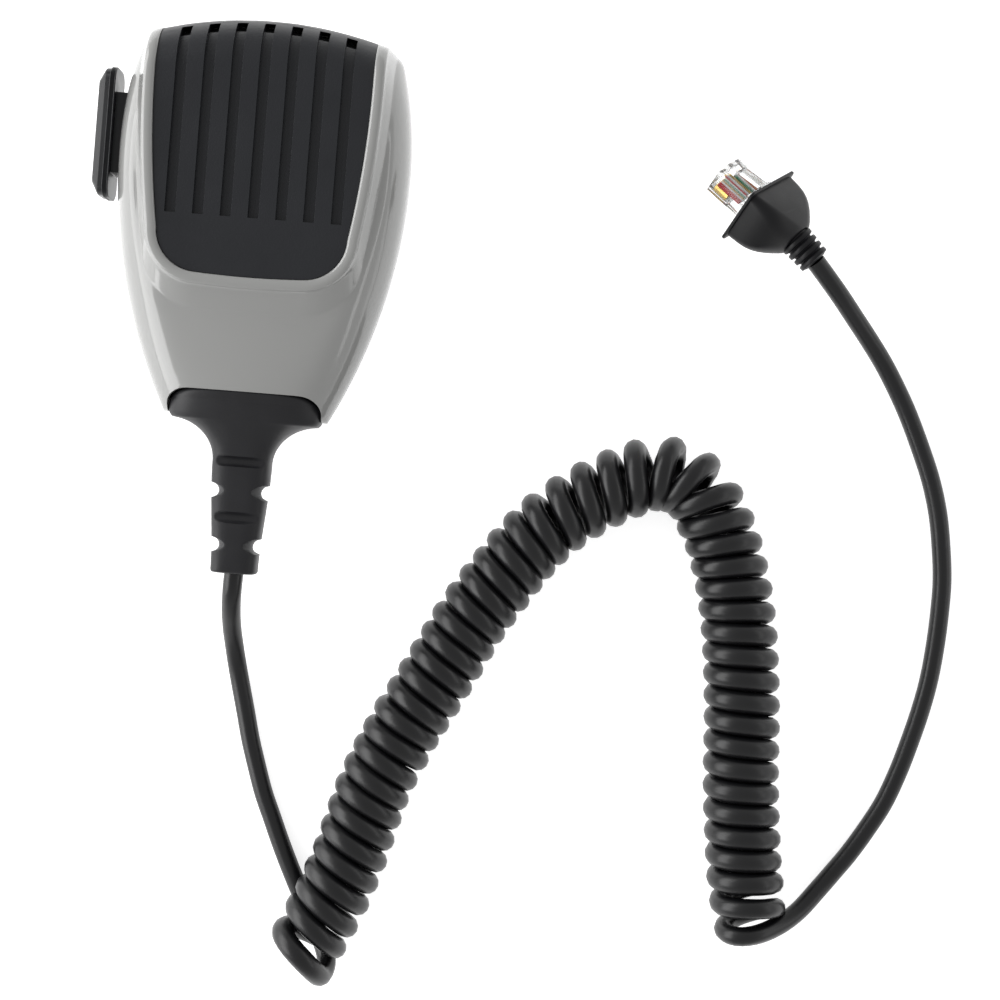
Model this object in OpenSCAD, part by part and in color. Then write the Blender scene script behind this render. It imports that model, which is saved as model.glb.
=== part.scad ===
// Hand microphone for a two-way radio. A two-shell housing holds a ribbed grille, a slide
// button for talking, a circuit board and a capsule. A rubber boot leads out a curly cord,
// which ends in a clear modular plug.
// Origin at the centre of the hang-up stud's outer face, +Y to the top, +Z to the grille.

/* [Housing] */
// Widest width of the housing
body_w = 74.4; // [70:0.2:82]
// Stud centre to the housing's top corners
top_reach = 43.8; // [42:0.2:47]
// Stud centre to the bottom ears
low_reach = 52; // [50:0.5:56]
// Stud centre to the widest line
wide_y = 13.5; // [8:0.5:18]
// Radius of the flanks above the widest line
upper_r = 100; // [80:1:140]
// Radius of the flanks below the widest line
lower_r = 140; // [120:1:180]
// Radius of the top corners, seen from the front
corner_r = 4; // [3:0.5:6]
// Rise of the top edge at its middle
crown = 4.8; // [3.6:0.1:5.4]
// Depth of the rear shell
rear_depth = 13.6; // [12:0.2:16]
// Depth of the front shell, up to the foot of the grille's frame
front_depth = 14.2; // [13.6:0.2:18]
// Wall of both shells
wall = 2.2; // [1.8:0.1:2.6]
// Rounding of the top edge, front to back
roll_r = 12; // [10:0.5:14]
// Gap between pieces that fit into each other
fit = 0.1; // [0.05:0.01:0.2]

/* [Grille] */
// Widest width of the grille
grille_w = 54; // [50:0.2:56]
// Stud centre to the grille's lower edge
grille_low = 17.5; // [15:0.5:20]
// Radius of the grille's lower corners
grille_corner = 10.5; // [8:0.5:12]
// Radius of the grille's side edges
grille_side_r = 250; // [180:5:400]
// Height of the grille's face above the housing's front
frame_h = 2.8; // [2:0.1:3.6]
// Height of the bead around the grille
bead_h = 0.9; // [0.4:0.1:1.4]
// Width of the bead around the grille
bead_w = 2.9; // [2:0.1:3.4]
// Thickness of the grille
grille_t = 2.2; // [1.8:0.1:2.6]
// Number of grooves
groove_n = 7; // [5:2:7]
// Distance between grooves
groove_pitch = 6.9; // [6:0.1:7.2]
// Width of a groove
groove_w = 2.7; // [2:0.1:3.4]
// Depth of a groove
groove_depth = 1.3; // [0.6:0.1:1.4]
// Stud centre to the lower end of the grooves
groove_low = 3.2; // [2:0.2:6]
// Length of each open slot
slot_l = 2.4; // [1.8:0.1:3.2]

/* [Talk button] */
// Stud centre to the button's middle
ptt_y = 17.4; // [15:0.2:20]
// Length of the button's pad
ptt_l = 33.2; // [30:0.2:36]
// Height of the button's pad
ptt_h = 13; // [11:0.2:15]
// Thickness of the pad
ptt_t = 4.6; // [4:0.1:5.2]
// Length of the stem behind the pad
stem_l = 20.5; // [18:0.5:24]
// Height of the stem
stem_h = 8.6; // [7:0.2:9.4]
// Travel of the button
ptt_travel = 1.2; // [0.8:0.1:1.5]
// Running gap around the stem
stem_gap = 0.25; // [0.2:0.05:0.4]

/* [Hang-up stud] */
// Diameter of the stud's head
stud_head_d = 16; // [14:0.5:18]
// Thickness of the head
stud_head_t = 2.4; // [2:0.1:3]
// Diameter of the neck
stud_neck_d = 8; // [7:0.5:9]
// Gap for the hanger between the head and the collar
stud_gap = 3.2; // [3:0.1:4]
// Diameter of the collar against the housing
collar_d = 13; // [11:0.5:14]
// Thickness of the collar
collar_t = 0.8; // [0.6:0.1:1.2]

/* [Fasteners] */
// Thread diameter of the housing screws
screw_d = 3; // [2.6:0.1:3.2]
// Head diameter of the housing screws
screw_head_d = 5.6; // [5:0.1:6]
// Diameter of the screw posts
post_d = 7.4; // [7:0.1:8]
// Thread diameter of the stud's screw
stud_screw_d = 4; // [3:0.5:5]
// Thread diameter of the small screws
small_screw_d = 2; // [1.8:0.1:2.4]

/* [Inside] */
// Width of the circuit board
board_w = 46; // [42:1:48]
// Length of the circuit board
board_l = 42; // [38:1:46]
// Thickness of the circuit board
board_t = 1.6; // [1:0.1:1.8]
// Diameter of the capsule
capsule_d = 9.7; // [9:0.1:11]
// Height of the capsule
capsule_h = 4.5; // [4:0.1:5]
// Wall of the rubber capsule holder
holder_wall = 2; // [1.5:0.1:2.5]

/* [Cord] */
// Diameter of the cord
cord_d = 5; // [4.4:0.1:5.6]
// Outer diameter of the curly stretch
coil_d = 20; // [18:0.5:22]

/* [Cable boot] */
// Stud centre to the boot's free end
boot_end = 92; // [89:0.5:94]
// Width of the boot at its neck
boot_neck_w = 15; // [13:0.5:16]
// Height of the boot at its neck
boot_neck_h = 13; // [11:0.5:14]
// Width of the boot at its free end
boot_end_w = 11.8; // [10:0.2:13]
// Half width of the boot's mouth at the housing's lower end
mouth_w = 19.6; // [18:0.2:20]
// Height of the boot's axis above the stud's face
boot_z = 19; // [18:0.5:20]
// Diameter of the flexing notches at the sides
notch_d = 3.6; // [2.8:0.1:4]
// Diameter of the flexing grooves across the faces
face_notch_d = 2.6; // [2:0.1:3.2]

/* [Plug] */
// Width of the modular plug
plug_w = 11.68; // [11.6:0.01:11.8]
// Thickness of the modular plug
plug_t = 6.5; // [6.4:0.05:6.7]
// Length of the modular plug
plug_l = 21.4; // [21:0.1:22]
// Length of the plug in front of its boot
plug_show = 11.8; // [10:0.1:13]
// Width of the plug's boot
pboot_w = 20.4; // [18:0.2:22]
// Thickness of the plug's boot
pboot_t = 14.6; // [13.4:0.2:16]
// Length of the plug's boot
pboot_l = 14; // [13:0.2:16]
// Diameter of the plug's ribbed relief
relief_d = 9; // [8:0.2:10]
// Length of the plug's ribbed relief
relief_l = 8; // [7:0.2:9]

/* [Hidden] */

// Heights of the main planes
rear_z = stud_head_t + stud_gap + collar_t;
part_z = rear_z + rear_depth;
body_z = part_z + front_depth;
face_z = body_z + frame_h;
seat_z = face_z - grille_t;
end_y = top_reach - 0.5;
top_y = end_y + crown;
roll_y = top_y - roll_r;

// Mouth at the lower end for the cable boot
mouth_edge = low_reach - 6;
mouth_top_w = 28;

// Forms of the flanks and ends
flank_top = 5.6;
flank_low = 9;
flank_low_y = 18 - low_reach;
edge_angle = 26;
dome = 1.2;
slope_y = -22;
slope = 0.11;
end_drop = 3.5;
end_l = 7;
end_wall = 1.8;
rear_round = 7;
rear_top_rise = 8;
rear_top_l = 15;
rear_low_rise = 4;
rear_low_l = 14;

function clamp01(t) = min(1, max(0, t));
function ease(t) = let (c = clamp01(t)) c * c * (3 - 2 * c);
function sag(r, d) = r - sqrt(max(0, r * r - d * d));
function bow(rise, d, l) = rise * (1 - sqrt(max(0, 1 - pow(clamp01(d / l), 2))));

// Half width of the housing at its parting line
function side_x(y) = body_w / 2 - sag(y > wide_y ? upper_r : lower_r, y - wide_y)
    - sag(corner_r, max(0, y - top_reach + corner_r));
// Drop of the front face towards the top edge
function roll(y) = sag(roll_r, max(0, y - roll_y));
function flank(y) = flank_top + (flank_low - flank_top) * ease((wide_y - 6 - y) / (wide_y - 6 - flank_low_y));
// Height of the housing's front along its middle
function front_z(y) = body_z - slope * max(0, slope_y - y) - bow(end_drop, -y - low_reach + end_l, end_l);
function back_z(y) = rear_z + bow(rear_top_rise, y - top_y + rear_top_l, rear_top_l)
    + bow(rear_low_rise, -y - low_reach + rear_low_l, rear_low_l);
// The top end is an arch, and what rolls over it turns about the arch's centre
end_half = side_x(end_y);
arch_r = (end_half * end_half + crown * crown) / (2 * crown);
arch_y = top_y - arch_r;
function top_edge(x) = arch_y + sqrt(arch_r * arch_r - x * x);
// Places near the top edge move up towards the middle, u runs from 0 there to 1 at the flank
function crowned(y, u) = y + (top_edge(u * end_half) - end_y) * ease((y - end_y + 10) / 10);
// Drop of the front at a place
function rolled(x, y) = roll(min(top_y, norm([x, y - arch_y]) + arch_y));

// Half section of the front, from the parting line to the middle; off is the wall taken away
function front_half(y, off) = let (
    hw = side_x(y) - off,
    cx = max(1, side_x(y) - flank(y) - off),
    zt = max(part_z + 0.5, front_z(y) - off),
    zc = max(part_z + 0.4, zt - dome),
    a = edge_angle)
    [for (t = [90, 75, 60, 42, a]) [cx + (hw - cx) * (sin(t) - sin(a)) / (1 - sin(a)),
        part_z + (zc - part_z) * cos(t) / cos(a)],
     for (k = [0.75, 0.5, 0.25, 0]) [cx * k, zt - (zt - zc) * k * k]];
// Half section of the back, from the parting line to the middle
function back_half(y, off) = let (
    hw = side_x(y) - off,
    bx = hw - rear_round,
    zb = min(part_z - 0.5, back_z(y) + off))
    [for (t = [90, 72, 54, 36, 18, 0]) [bx + (hw - bx) * sin(t), part_z - (part_z - zb) * cos(t)],
     for (k = [0.5, 0]) [bx * k, zb]];
// A point of a section in space; in front of the parting line it rolls down to the top edge
function placed(p, y, hw) = let (yc = crowned(y, p[0] / hw))
    [p[0], yc, p[1] > part_z ? part_z + (p[1] - part_z) * (1 - rolled(p[0], yc) / front_depth) : p[1]];
// Closed section as a ring of points
function ring_of(half, y) = let (hw = half[0][0], n = len(half))
    concat([for (p = half) placed(p, y, hw)],
        [for (i = [n - 2:-1:0]) placed([-half[i][0], half[i][1]], y, hw)]);

function mean(pts) = [for (k = [0:2]) let (v = [for (p = pts) p[k]]) (max(v) + min(v)) / 2];

// Closed skin over rings of points, each with as many points; the ends are closed by fans
module skin(rings, flip = false) {
    n = len(rings[0]);
    m = len(rings);
    walls = [for (j = [0:m - 2]) for (i = [0:n - 1]) let (k = (i + 1) % n)
        each [[j * n + i, j * n + k, (j + 1) * n + k], [j * n + i, (j + 1) * n + k, (j + 1) * n + i]]];
    caps = [for (i = [0:n - 1]) let (k = (i + 1) % n)
        each [[m * n, k, i], [m * n + 1, (m - 1) * n + i, (m - 1) * n + k]]];
    faces = concat(walls, caps);
    pts = concat([for (r = rings) each r], [mean(rings[0]), mean(rings[m - 1])]);
    polyhedron(points = pts, faces = flip ? [for (f = faces) [f[2], f[1], f[0]]] : faces);
}

body_stations = [-low_reach, -low_reach + 2, -low_reach + 4.5, -low_reach + 8, -38, -30, -22, -13,
    -3, 7, 17, 27, roll_y - 2, end_y - 7, end_y - 4.5, end_y - 2.5, end_y - 1, end_y];
inner_stations = [-mouth_edge + end_wall, -42, -38, -26, -12, 4, 18, 30, end_y - wall - 5,
    end_y - wall - 2, end_y - wall];

module front_hollow() skin([for (y = inner_stations)
    [for (p = ring_of(front_half(y, wall), y)) p[2] < part_z + 0.01 ? [p[0], p[1], part_z - 1] : p]]);
module back_form() skin([for (y = body_stations) ring_of(back_half(y, 0), y)], flip = true);
module back_hollow() skin([for (y = inner_stations)
    [for (p = ring_of(back_half(y, wall), y)) p[2] > part_z - 0.01 ? [p[0], p[1], part_z + 1] : p]],
        flip = true);

// ---- Grille and its frame ----
side_steps = [0, 0.04, 0.08, 0.13, 0.2, 0.32, 0.52, 0.76, 1];
// Half width of the grille's outline grown by side, held inside the housing's rounded corners
function grille_x(y) = grille_w / 2 - sag(grille_side_r, min(0, y - roll_y + 2.5));
function frame_x(y, side) = min(grille_x(y) + side, side_x(y) - 0.1 - 0.15 * (foot[0] - side));
// Right half of the outline from the top corner to the lower edge's middle
function half_outline(side, low, over) = let (
    r = grille_corner + side,
    yb = r - grille_low - low,
    xc = grille_x(yb) + side - r,
    yt = top_edge(grille_w / 2 + side / 2) + over)
    [for (t = side_steps) let (y = yt + (yb - yt) * t)
        [side > fit ? frame_x(y, side) : grille_x(y) + side, y],
     for (a = [15:15:90]) [xc + r * cos(a), yb - r * sin(a)],
     [xc * 0.35, yb - r - 0.4]];
function grille_outline(side, low, over = -fit) = let (
    h = half_outline(side, low, over),
    n = len(h),
    xt = h[0][0])
    concat(h, [for (i = [n - 1:-1:0]) [-h[i][0], h[i][1]]],
        [for (t = [-0.75:0.25:0.75]) [xt * t, top_edge(xt * t) + over]]);
// Side view of everything below a face at height z that rolls over at the top
roll_to = 84;
function under_roll(z, z0, y0) = let (r = roll_r + z - face_z) [[y0, z0], [y0, z],
    for (a = [0:roll_to / 8:roll_to]) [roll_y + r * sin(a), z - r * (1 - cos(a))],
    [roll_y + r * sin(roll_to), z0]];
// Solid with that side view all along the arch
module arched(pts) translate([0, arch_y, 0]) rotate_extrude($fn = 96)
    polygon([for (p = pts) [p[0] - arch_y, p[1]]]);
module between_rolls(upper, lower, y0, y1) intersection() {
    difference() {
        arched(under_roll(upper, part_z - 2, y0 - 1));
        arched(under_roll(lower, part_z - 3, y0 - 2));
    }
    arched([[y0, part_z - 5], [y1, part_z - 5], [y1, face_z + roll_r], [y0, face_z + roll_r]]);
}

// Height of the housing's front over a place, without the frame around the grille
function front_over(x, y) = let (
    hw = side_x(min(y, end_y)),
    cx = hw - flank(y),
    zt = front_z(y),
    zc = zt - dome,
    u = min(1, sin(edge_angle) + max(0, abs(x) - cx) / (hw - cx) * (1 - sin(edge_angle))),
    z = abs(x) < cx ? zt - dome * pow(x / cx, 2) : part_z + (zc - part_z) * sqrt(1 - u * u) / cos(edge_angle))
    part_z + (z - part_z) * (1 - rolled(x, y) / front_depth);
// Rings of the frame: side growth, lower growth, height; the foot lies on the housing's front
frame_rings = [[bead_w * 0.1, bead_w * 0.1, face_z + bead_h * 0.6],
    [bead_w * 0.45, bead_w * 0.45, face_z + bead_h],
    [bead_w * 0.8, bead_w * 0.8, face_z + bead_h * 0.7], [bead_w, bead_w, face_z - 0.2],
    [bead_w + 0.7, 5, face_z - 1.2]];
foot = [bead_w + 2, 8.6];
// Plan of the housing's edge, point for point beside the grille's outline
function edge_y(t) = end_y - 0.4 + (-30 - end_y) * t;
half_edge = concat([for (t = side_steps) [side_x(edge_y(t)), edge_y(t)]],
    [for (y = [17, 12.5, 9, 5.5, 2.5, 0]) let (d = y - low_reach) [side_x(d), d]],
        [[side_x(-low_reach) * 0.4, -low_reach]]);
edge_plan = concat(half_edge, [for (i = [len(half_edge) - 1:-1:0]) [-half_edge[i][0], half_edge[i][1]]],
    [for (t = [-0.75:0.25:0.75]) [side_x(end_y) * t, top_edge(side_x(end_y) * t)]]);
module front_form() {
    foot_plan = grille_outline(foot[0], foot[1]);
    n = len(foot_plan);
    skin(concat(
        [for (r = frame_rings) [for (p = grille_outline(r[0], r[1]))
            [p[0], p[1], r[2] - rolled(p[0], p[1])]]],
        [for (s = [0, 0.3, 0.6, 0.82, 1]) [for (i = [0:n - 1])
            let (p = foot_plan[i] + (edge_plan[i] - foot_plan[i]) * s)
            [p[0], p[1], max(part_z + 0.5, front_over(p[0], p[1]))]]],
        [[for (p = edge_plan) [p[0], p[1], part_z]]]), flip = true);
}

// Height of the rear edge of the grille above the parting line, at the top end
sill = 3.5;
module grille_block(grow) intersection() {
    translate([0, 0, part_z + sill - grow]) linear_extrude(front_depth + 6)
        polygon(grille_outline(grow, grow, grow > 0 ? 3 : -fit));
    between_rolls(face_z + (grow > 0 ? 5 : 0), seat_z, -grille_low - 3, top_y + 2);
}

// ---- Places shared by several pieces ----
top_post = [26, 33];
low_post = [17.5, 18 - low_reach];
post_spots = [for (sx = [-1, 1]) each [[sx * top_post[0], top_post[1]], [sx * low_post[0], low_post[1]]]];
head_t = 1.8;
head_z = rear_z + 3.4;
pilot_l = 8;
board_z = part_z + 2;
board_y = 28 - board_l / 2;
board_spots = [for (sx = [-1, 1]) for (sy = [-1, 1]) [sx * (board_w / 2 - 3),
    board_y + sy * (board_l / 2 - 3)]];
ceiling_z = body_z - wall;
small_head_d = small_screw_d * 1.9;
small_head_t = 1.4;
small_post_d = small_screw_d + 2.6;
small_grip = 4;
drill_depth = 7;
capsule_y = 20;
window_w = 26;
slot_room = 45;
slot_room_y = 37;
slot_y1 = top_y - 1.8;
// Way behind the slots, from a height above the grille's seat down through the shell
module slot_way(y0, y1, above, deep, w) intersection() {
    between_rolls(seat_z + above, seat_z - deep, y0, y1);
    translate([-w / 2, 0, part_z + sill]) cube([w, top_y, face_z]);
}

// Talk button: the stem passes a window in the flank, a lip inside holds it
flank_x = side_x(ptt_y);
pad_gap = 0.3;
pad_x = flank_x + pad_gap + ptt_travel + ptt_t;
lip_t = 1.6;
lip_over = 1.2;
lip_rise = 0.6;
lip_room = 2.2;
stem_z = part_z;
lip_x = flank_x - wall - lip_room;
stem_end_x = lip_x - lip_t;
spring_dy = 9.4;
spring_d = 4;
spring_wire = 0.5;
spring_z = part_z - 1.6;
spring_l = 6.6;
switch_l = 11;
switch_h = 6;
switch_w = 6.4;
key_l = 2.6;
key_d = 3;
key_gap = 0.3;
nose_l = stem_end_x - board_w / 2 - key_l - key_gap;

function pad_outline(l, h, r) = [for (c = [[1, 1], [-1, 1], [-1, -1], [1, -1]], a = [0:22.5:90])
    let (t = a + (c[1] > 0 ? (c[0] > 0 ? 0 : 90) : (c[0] < 0 ? 180 : 270)))
    [c[0] * (l / 2 - r) + r * cos(t), c[1] * (h / 2 - r) + r * sin(t)]];
// Window through the left flank for a stem with a gap around it
module flank_window(gap) translate([-body_w / 2 - 4, ptt_y - stem_l / 2 - gap, stem_z - stem_h / 2 - gap])
    cube([14, stem_l + 2 * gap, stem_h + 2 * gap]);

// Mouth at the lower end, seen from the front: a flat edge with rounded shoulders
function mouth_points(gap) = let (
    xt = mouth_top_w / 2 - gap,
    xb = mouth_w - gap,
    ye = -mouth_edge - gap)
    concat([[-xb, -low_reach - 12], [-xb, ye - 4.6]],
        [for (a = [0:22.5:90]) [-xt - (xb - xt) * cos(a), ye - 4.2 + 4.2 * sin(a)]],
        [for (a = [90:-22.5:0]) [xt + (xb - xt) * cos(a), ye - 4.2 + 4.2 * sin(a)]],
        [[xb, ye - 4.6], [xb, -low_reach - 12]]);
module mouth(gap, z0, z1) translate([0, 0, z0]) linear_extrude(z1 - z0) polygon(mouth_points(gap));

module front_shell() color("#a9aba6") {
    difference() {
        union() {
            difference() {
                front_form();
                front_hollow();
                grille_block(fit);
                mouth(0, part_z - 1, face_z);
                tongue(fit);
                flank_window(stem_gap);
            }
            for (p = post_spots) translate([p[0], p[1], part_z])
                cylinder(d = post_d, h = post_top(p) - part_z, $fn = 32);
            for (p = board_spots) translate([p[0], p[1], board_z + board_t])
                cylinder(d = small_post_d, h = ceiling_z + 0.6 - board_z - board_t, $fn = 32);
        }
        for (p = post_spots) translate([p[0], p[1], part_z - 1])
            cylinder(d = screw_d + 2 * fit, h = pilot_l + 1, $fn = 32);
        for (p = board_spots) translate([p[0], p[1], board_z])
            cylinder(d = small_screw_d + 2 * fit, h = drill_depth, $fn = 24);
        // Sound passes from the slots behind the grille down to the capsule
        translate([-window_w / 2, capsule_y - 4, ceiling_z - 4])
            cube([window_w, slot_room_y - capsule_y + 5, 12]);
        slot_way(slot_room_y, slot_y1, 1, 7, slot_room);
    }
}
// Height at which a screw post meets the front wall
function post_top(p) = p[1] > 0 ? ceiling_z + 0.8 : front_z(p[1]) - wall - dome + 0.4;

module rear_shell() color("#a3a5a0") {
    difference() {
        union() {
            difference() {
                back_form();
                back_hollow();
                mouth(0, 0, part_z + 1);
                tongue(fit);
                flank_window(stem_gap);
            }
            for (p = post_spots) translate([p[0], p[1], back_z(p[1]) + wall / 2])
                cylinder(d = post_d, h = part_z - back_z(p[1]) - wall / 2, $fn = 32);
            translate([0, 0, rear_z + wall / 2])
                cylinder(d = collar_d + 3, h = floor_z - rear_z - wall / 2, $fn = 48);
            translate([-clamp_x - 3, clamp_y - 3, rear_z + wall / 2])
                cube([2 * clamp_x + 6, 6, boot_z - rear_z - wall / 2]);
            for (s = [-1, 1]) translate([-stem_end_x + spring_l, ptt_y + s * spring_dy - 2.6,
                rear_z + wall / 2])
                cube([1.8, 5.2, spring_z + 2 - rear_z - wall / 2]);
        }
        for (p = post_spots) translate([p[0], p[1], 0]) {
            cylinder(d = screw_head_d + 0.6, h = head_z, $fn = 32);
            cylinder(d = screw_d + 2 * fit, h = part_z + 1, $fn = 32);
        }
        cylinder(d = stud_screw_d + 2 * fit, h = floor_z + 1, $fn = 32);
        for (s = [-1, 1]) translate([s * clamp_x, clamp_y, boot_z - drill_depth + 1])
            cylinder(d = small_screw_d + 2 * fit, h = drill_depth, $fn = 24);
        cord_way(cord_d);
    }
}
floor_z = rear_z + wall + 1.4;

// Stretch of the grooves' columns between two surfaces and two lines along the arch
module columns(lower, y0, y1) intersection() {
    between_rolls(face_z + 3, lower, y0, y1);
    for (i = [0:groove_n - 1]) translate([(i - (groove_n - 1) / 2) * groove_pitch - groove_w / 2,
        -groove_low, part_z])
        cube([groove_w, top_y + groove_low, face_z]);
}

module grille() color("#2b2e31") difference() {
    grille_block(0);
    columns(face_z - groove_depth, -groove_low - 6, slot_y1);
    columns(seat_z - 2, slot_y1 - slot_l, slot_y1);
}
cloth_t = 0.4;
module grille_cloth() color("#101214") slot_way(slot_room_y + fit, slot_y1 - fit, 0, cloth_t,
    slot_room - 2 * fit);

// ---- Talk button and its switch ----
module ptt_button() color("#17191b") {
    // Pad: rounded rectangles from its inner face outwards, drawn in at the ends and sides
    skin([for (r = [[0.4, 0.4, 0], [0, 0, 0.08], [0, 0, 0.3], [0.3, 0.35, 0.34], [0.4, 0.5, 0.6],
        [3.4, 2.2, 1]])
        [for (p = pad_outline(ptt_l - 2 * r[0], ptt_h - 2 * r[1], 3.4 - r[1]))
            [-(pad_x - ptt_t * (1 - r[2])), ptt_y + p[0], stem_z + p[1]]]]);
    // Stem through the window, with a lip behind the wall
    translate([-(pad_x - ptt_t), ptt_y - stem_l / 2, stem_z - stem_h / 2])
        cube([pad_x - ptt_t - stem_end_x, stem_l, stem_h]);
    translate([-lip_x, ptt_y - stem_l / 2 - lip_over, stem_z - stem_h / 2 - lip_rise])
        cube([lip_t, stem_l + 2 * lip_over, stem_h + 2 * lip_rise]);
    // Nose that reaches the switch
    translate([-stem_end_x - 0.01, ptt_y, part_z - switch_h / 2 + 1]) rotate([0, 90, 0])
        cylinder(d = key_d, h = nose_l, $fn = 32);
}
module coil_spring(l, turns) {
    n = 10;
    r = (spring_d - spring_wire) / 2;
    skin([for (i = [0:n * turns]) let (a = 360 * i / n,
        x = spring_wire / 2 + (l - spring_wire) * i / (n * turns))
        [for (b = [0:72:288]) let (q = r + spring_wire / 2 * cos(b))
            [x + spring_wire / 2 * sin(b), q * cos(a), q * sin(a)]]]);
}
module ptt_springs() color("#b8bcc0") for (s = [-1, 1])
    translate([-stem_end_x + 0.05, ptt_y + s * spring_dy, spring_z]) coil_spring(spring_l - 0.1, 4);
module ptt_switch() color("#202326") difference() {
    translate([-board_w / 2, ptt_y - switch_l / 2, board_z - switch_h]) cube([switch_w, switch_l, switch_h]);
    translate([-board_w / 2 - 0.1, ptt_y, part_z - switch_h / 2 + 1]) rotate([0, 90, 0])
        cylinder(d = key_d + 2 * fit, h = 4.4, $fn = 32);
}
module switch_plunger() color("#c2452d") translate([-board_w / 2 - key_l, ptt_y, part_z - switch_h / 2 + 1])
    rotate([0, 90, 0]) cylinder(d = key_d, h = key_l + 1.6, $fn = 32);

// ---- Hang-up stud ----
module hanger_stud() color("#c9ccce") difference() {
    rotate_extrude($fn = 64) polygon([[0, 0], [stud_head_d / 2 - 0.6, 0], [stud_head_d / 2, 0.6],
        [stud_head_d / 2, stud_head_t - 0.4], [stud_head_d / 2 - 0.4, stud_head_t],
        [stud_neck_d / 2, stud_head_t], [stud_neck_d / 2, stud_head_t + stud_gap],
        [collar_d / 2, stud_head_t + stud_gap], [collar_d / 2, rear_z], [0, rear_z]]);
    translate([0, 0, 1.6]) cylinder(d = stud_screw_d, h = rear_z, $fn = 32);
}
module stud_screw() color("#b9bcbe") {
    translate([0, 0, 1.6]) cylinder(d = stud_screw_d, h = floor_z + washer_t - 1.6, $fn = 32);
    translate([0, 0, floor_z + washer_t]) cylinder(d = stud_screw_d * 1.9, h = 2.4, $fn = 32);
}
washer_t = 0.8;
module stud_washer() color("#b9bcbe") translate([0, 0, floor_z]) difference() {
    cylinder(d = collar_d - 3, h = washer_t, $fn = 48);
    translate([0, 0, -1]) cylinder(d = stud_screw_d + 2 * fit, h = 3, $fn = 32);
}
module housing_screws() color("#8e9194") for (p = post_spots) translate([p[0], p[1], 0]) {
    translate([0, 0, head_z - head_t]) difference() {
        cylinder(d = screw_head_d, h = head_t, $fn = 32);
        for (a = [0, 90]) rotate([0, 0, a]) translate([-1.6, -0.3, -0.5]) cube([3.2, 0.6, 1.4]);
    }
    translate([0, 0, head_z]) cylinder(d = screw_d, h = part_z + pilot_l - 0.5 - head_z, $fn = 32);
}

// ---- Inside ----
module circuit_board() color("#1f5c35") difference() {
    translate([-board_w / 2, board_y - board_l / 2, board_z]) cube([board_w, board_l, board_t]);
    for (p = board_spots) translate([p[0], p[1], board_z - 1])
        cylinder(d = small_screw_d + 2 * fit, h = board_t + 2, $fn = 24);
}
module board_screws() color("#b9bcbe") for (p = board_spots) translate([p[0], p[1], 0]) {
    translate([0, 0, board_z - small_head_t]) cylinder(d = small_head_d, h = small_head_t, $fn = 24);
    translate([0, 0, board_z]) cylinder(d = small_screw_d, h = board_t + small_grip, $fn = 24);
}
lead_n = 6;
lead_pitch = 2;
lead_d = 1.1;
header_w = lead_n * lead_pitch + 3;
header_y = board_y - board_l / 2 + 1;
header_h = 5;
header_l = 6;
module board_connector() color("#e8e4d8") translate([-header_w / 2, header_y, board_z - header_h])
    cube([header_w, header_l, header_h]);
module inner_leads() for (i = [0:lead_n - 1]) color(lead_colors[i]) let (
    x0 = (i - (lead_n - 1) / 2) * lead_pitch,
    a = [(floor(i / 2) - 1) * 1.3, cord_in_y, boot_z + (i % 2 == 0 ? 0.65 : -0.65)],
    b = [x0, header_y, board_z - header_h / 2],
    m = [x0 * 0.8, (cord_in_y + header_y) / 2, (a[2] + b[2]) / 2])
    skin([for (t = [0, 0.25, 0.5, 0.75, 1]) let (c = (1 - t) * (1 - t) * a + 2 * t * (1 - t) * m + t * t * b)
        [for (g = [0:60:300]) c + lead_d / 2 * [cos(g), 0, sin(g)]]]);
lead_colors = ["red", "gold", "green", "white", "black", "blue"];
// Rubber cup between the board and the front wall, open at the front for the capsule's face
holder_z = board_z + board_t;
holder_h = ceiling_z - 0.3 - holder_z;
module capsule_holder() color("#26282a") translate([0, capsule_y, holder_z]) difference() {
    cylinder(d = capsule_d + 2 * holder_wall, h = holder_h, $fn = 48);
    translate([0, 0, holder_h - 1 - capsule_h]) cylinder(d = capsule_d, h = capsule_h, $fn = 48);
    translate([0, 0, holder_h - 2]) cylinder(d = capsule_d - 2.4, h = 3, $fn = 48);
}
module mic_capsule() color("#b5b8ba") translate([0, capsule_y, holder_z + holder_h - 1 - capsule_h])
    cylinder(d = capsule_d, h = capsule_h, $fn = 48);

// ---- Cable boot and cord inside ----
clamp_x = 7;
clamp_y = 17 - low_reach;
clamp_t = 3.6;
// Way of the cord through the clamp and its seat
module cord_way(d) translate([0, clamp_y - 4, boot_z]) rotate([-90, 0, 0]) cylinder(d = d, h = 8, $fn = 32);
cord_in_y = clamp_y + 5;
// Half section of the boot: a rounded rectangle
function boot_ring(y, a, b, e) = [for (i = [0:23]) let (t = 15 * i)
    [a * sign(cos(t)) * pow(abs(cos(t)), 2 / e), y, boot_z + b * sign(sin(t)) * pow(abs(sin(t)), 2 / e)]];
neck_y = 63.5;
sweep_y = low_reach + 1.2;
wing_rise = 2.2;
function swept_in(d) = 1 - sqrt(max(0, 1 - pow((neck_y - d) / (neck_y - sweep_y), 2)));
function boot_half_w(d) = d < neck_y
    ? boot_neck_w / 2 + (mouth_w - fit - boot_neck_w / 2) * swept_in(d)
    : boot_neck_w / 2 - (boot_neck_w - boot_end_w) / 2 * ease((d - neck_y) / (boot_end - neck_y));
function boot_half_h(d) = d < neck_y
    ? boot_neck_h / 2 + wing_rise * swept_in(d)
    : boot_neck_h / 2 - (boot_neck_h - boot_end_w) / 2 * ease((d - neck_y) / (boot_end - neck_y));
boot_d = [low_reach - 1, sweep_y, sweep_y + 0.4, sweep_y + 1.2, sweep_y + 2.6, sweep_y + 4.6, sweep_y + 7,
    neck_y, 70, 78, boot_end - 1, boot_end];
notch_side = [71, 84.8];
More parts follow.
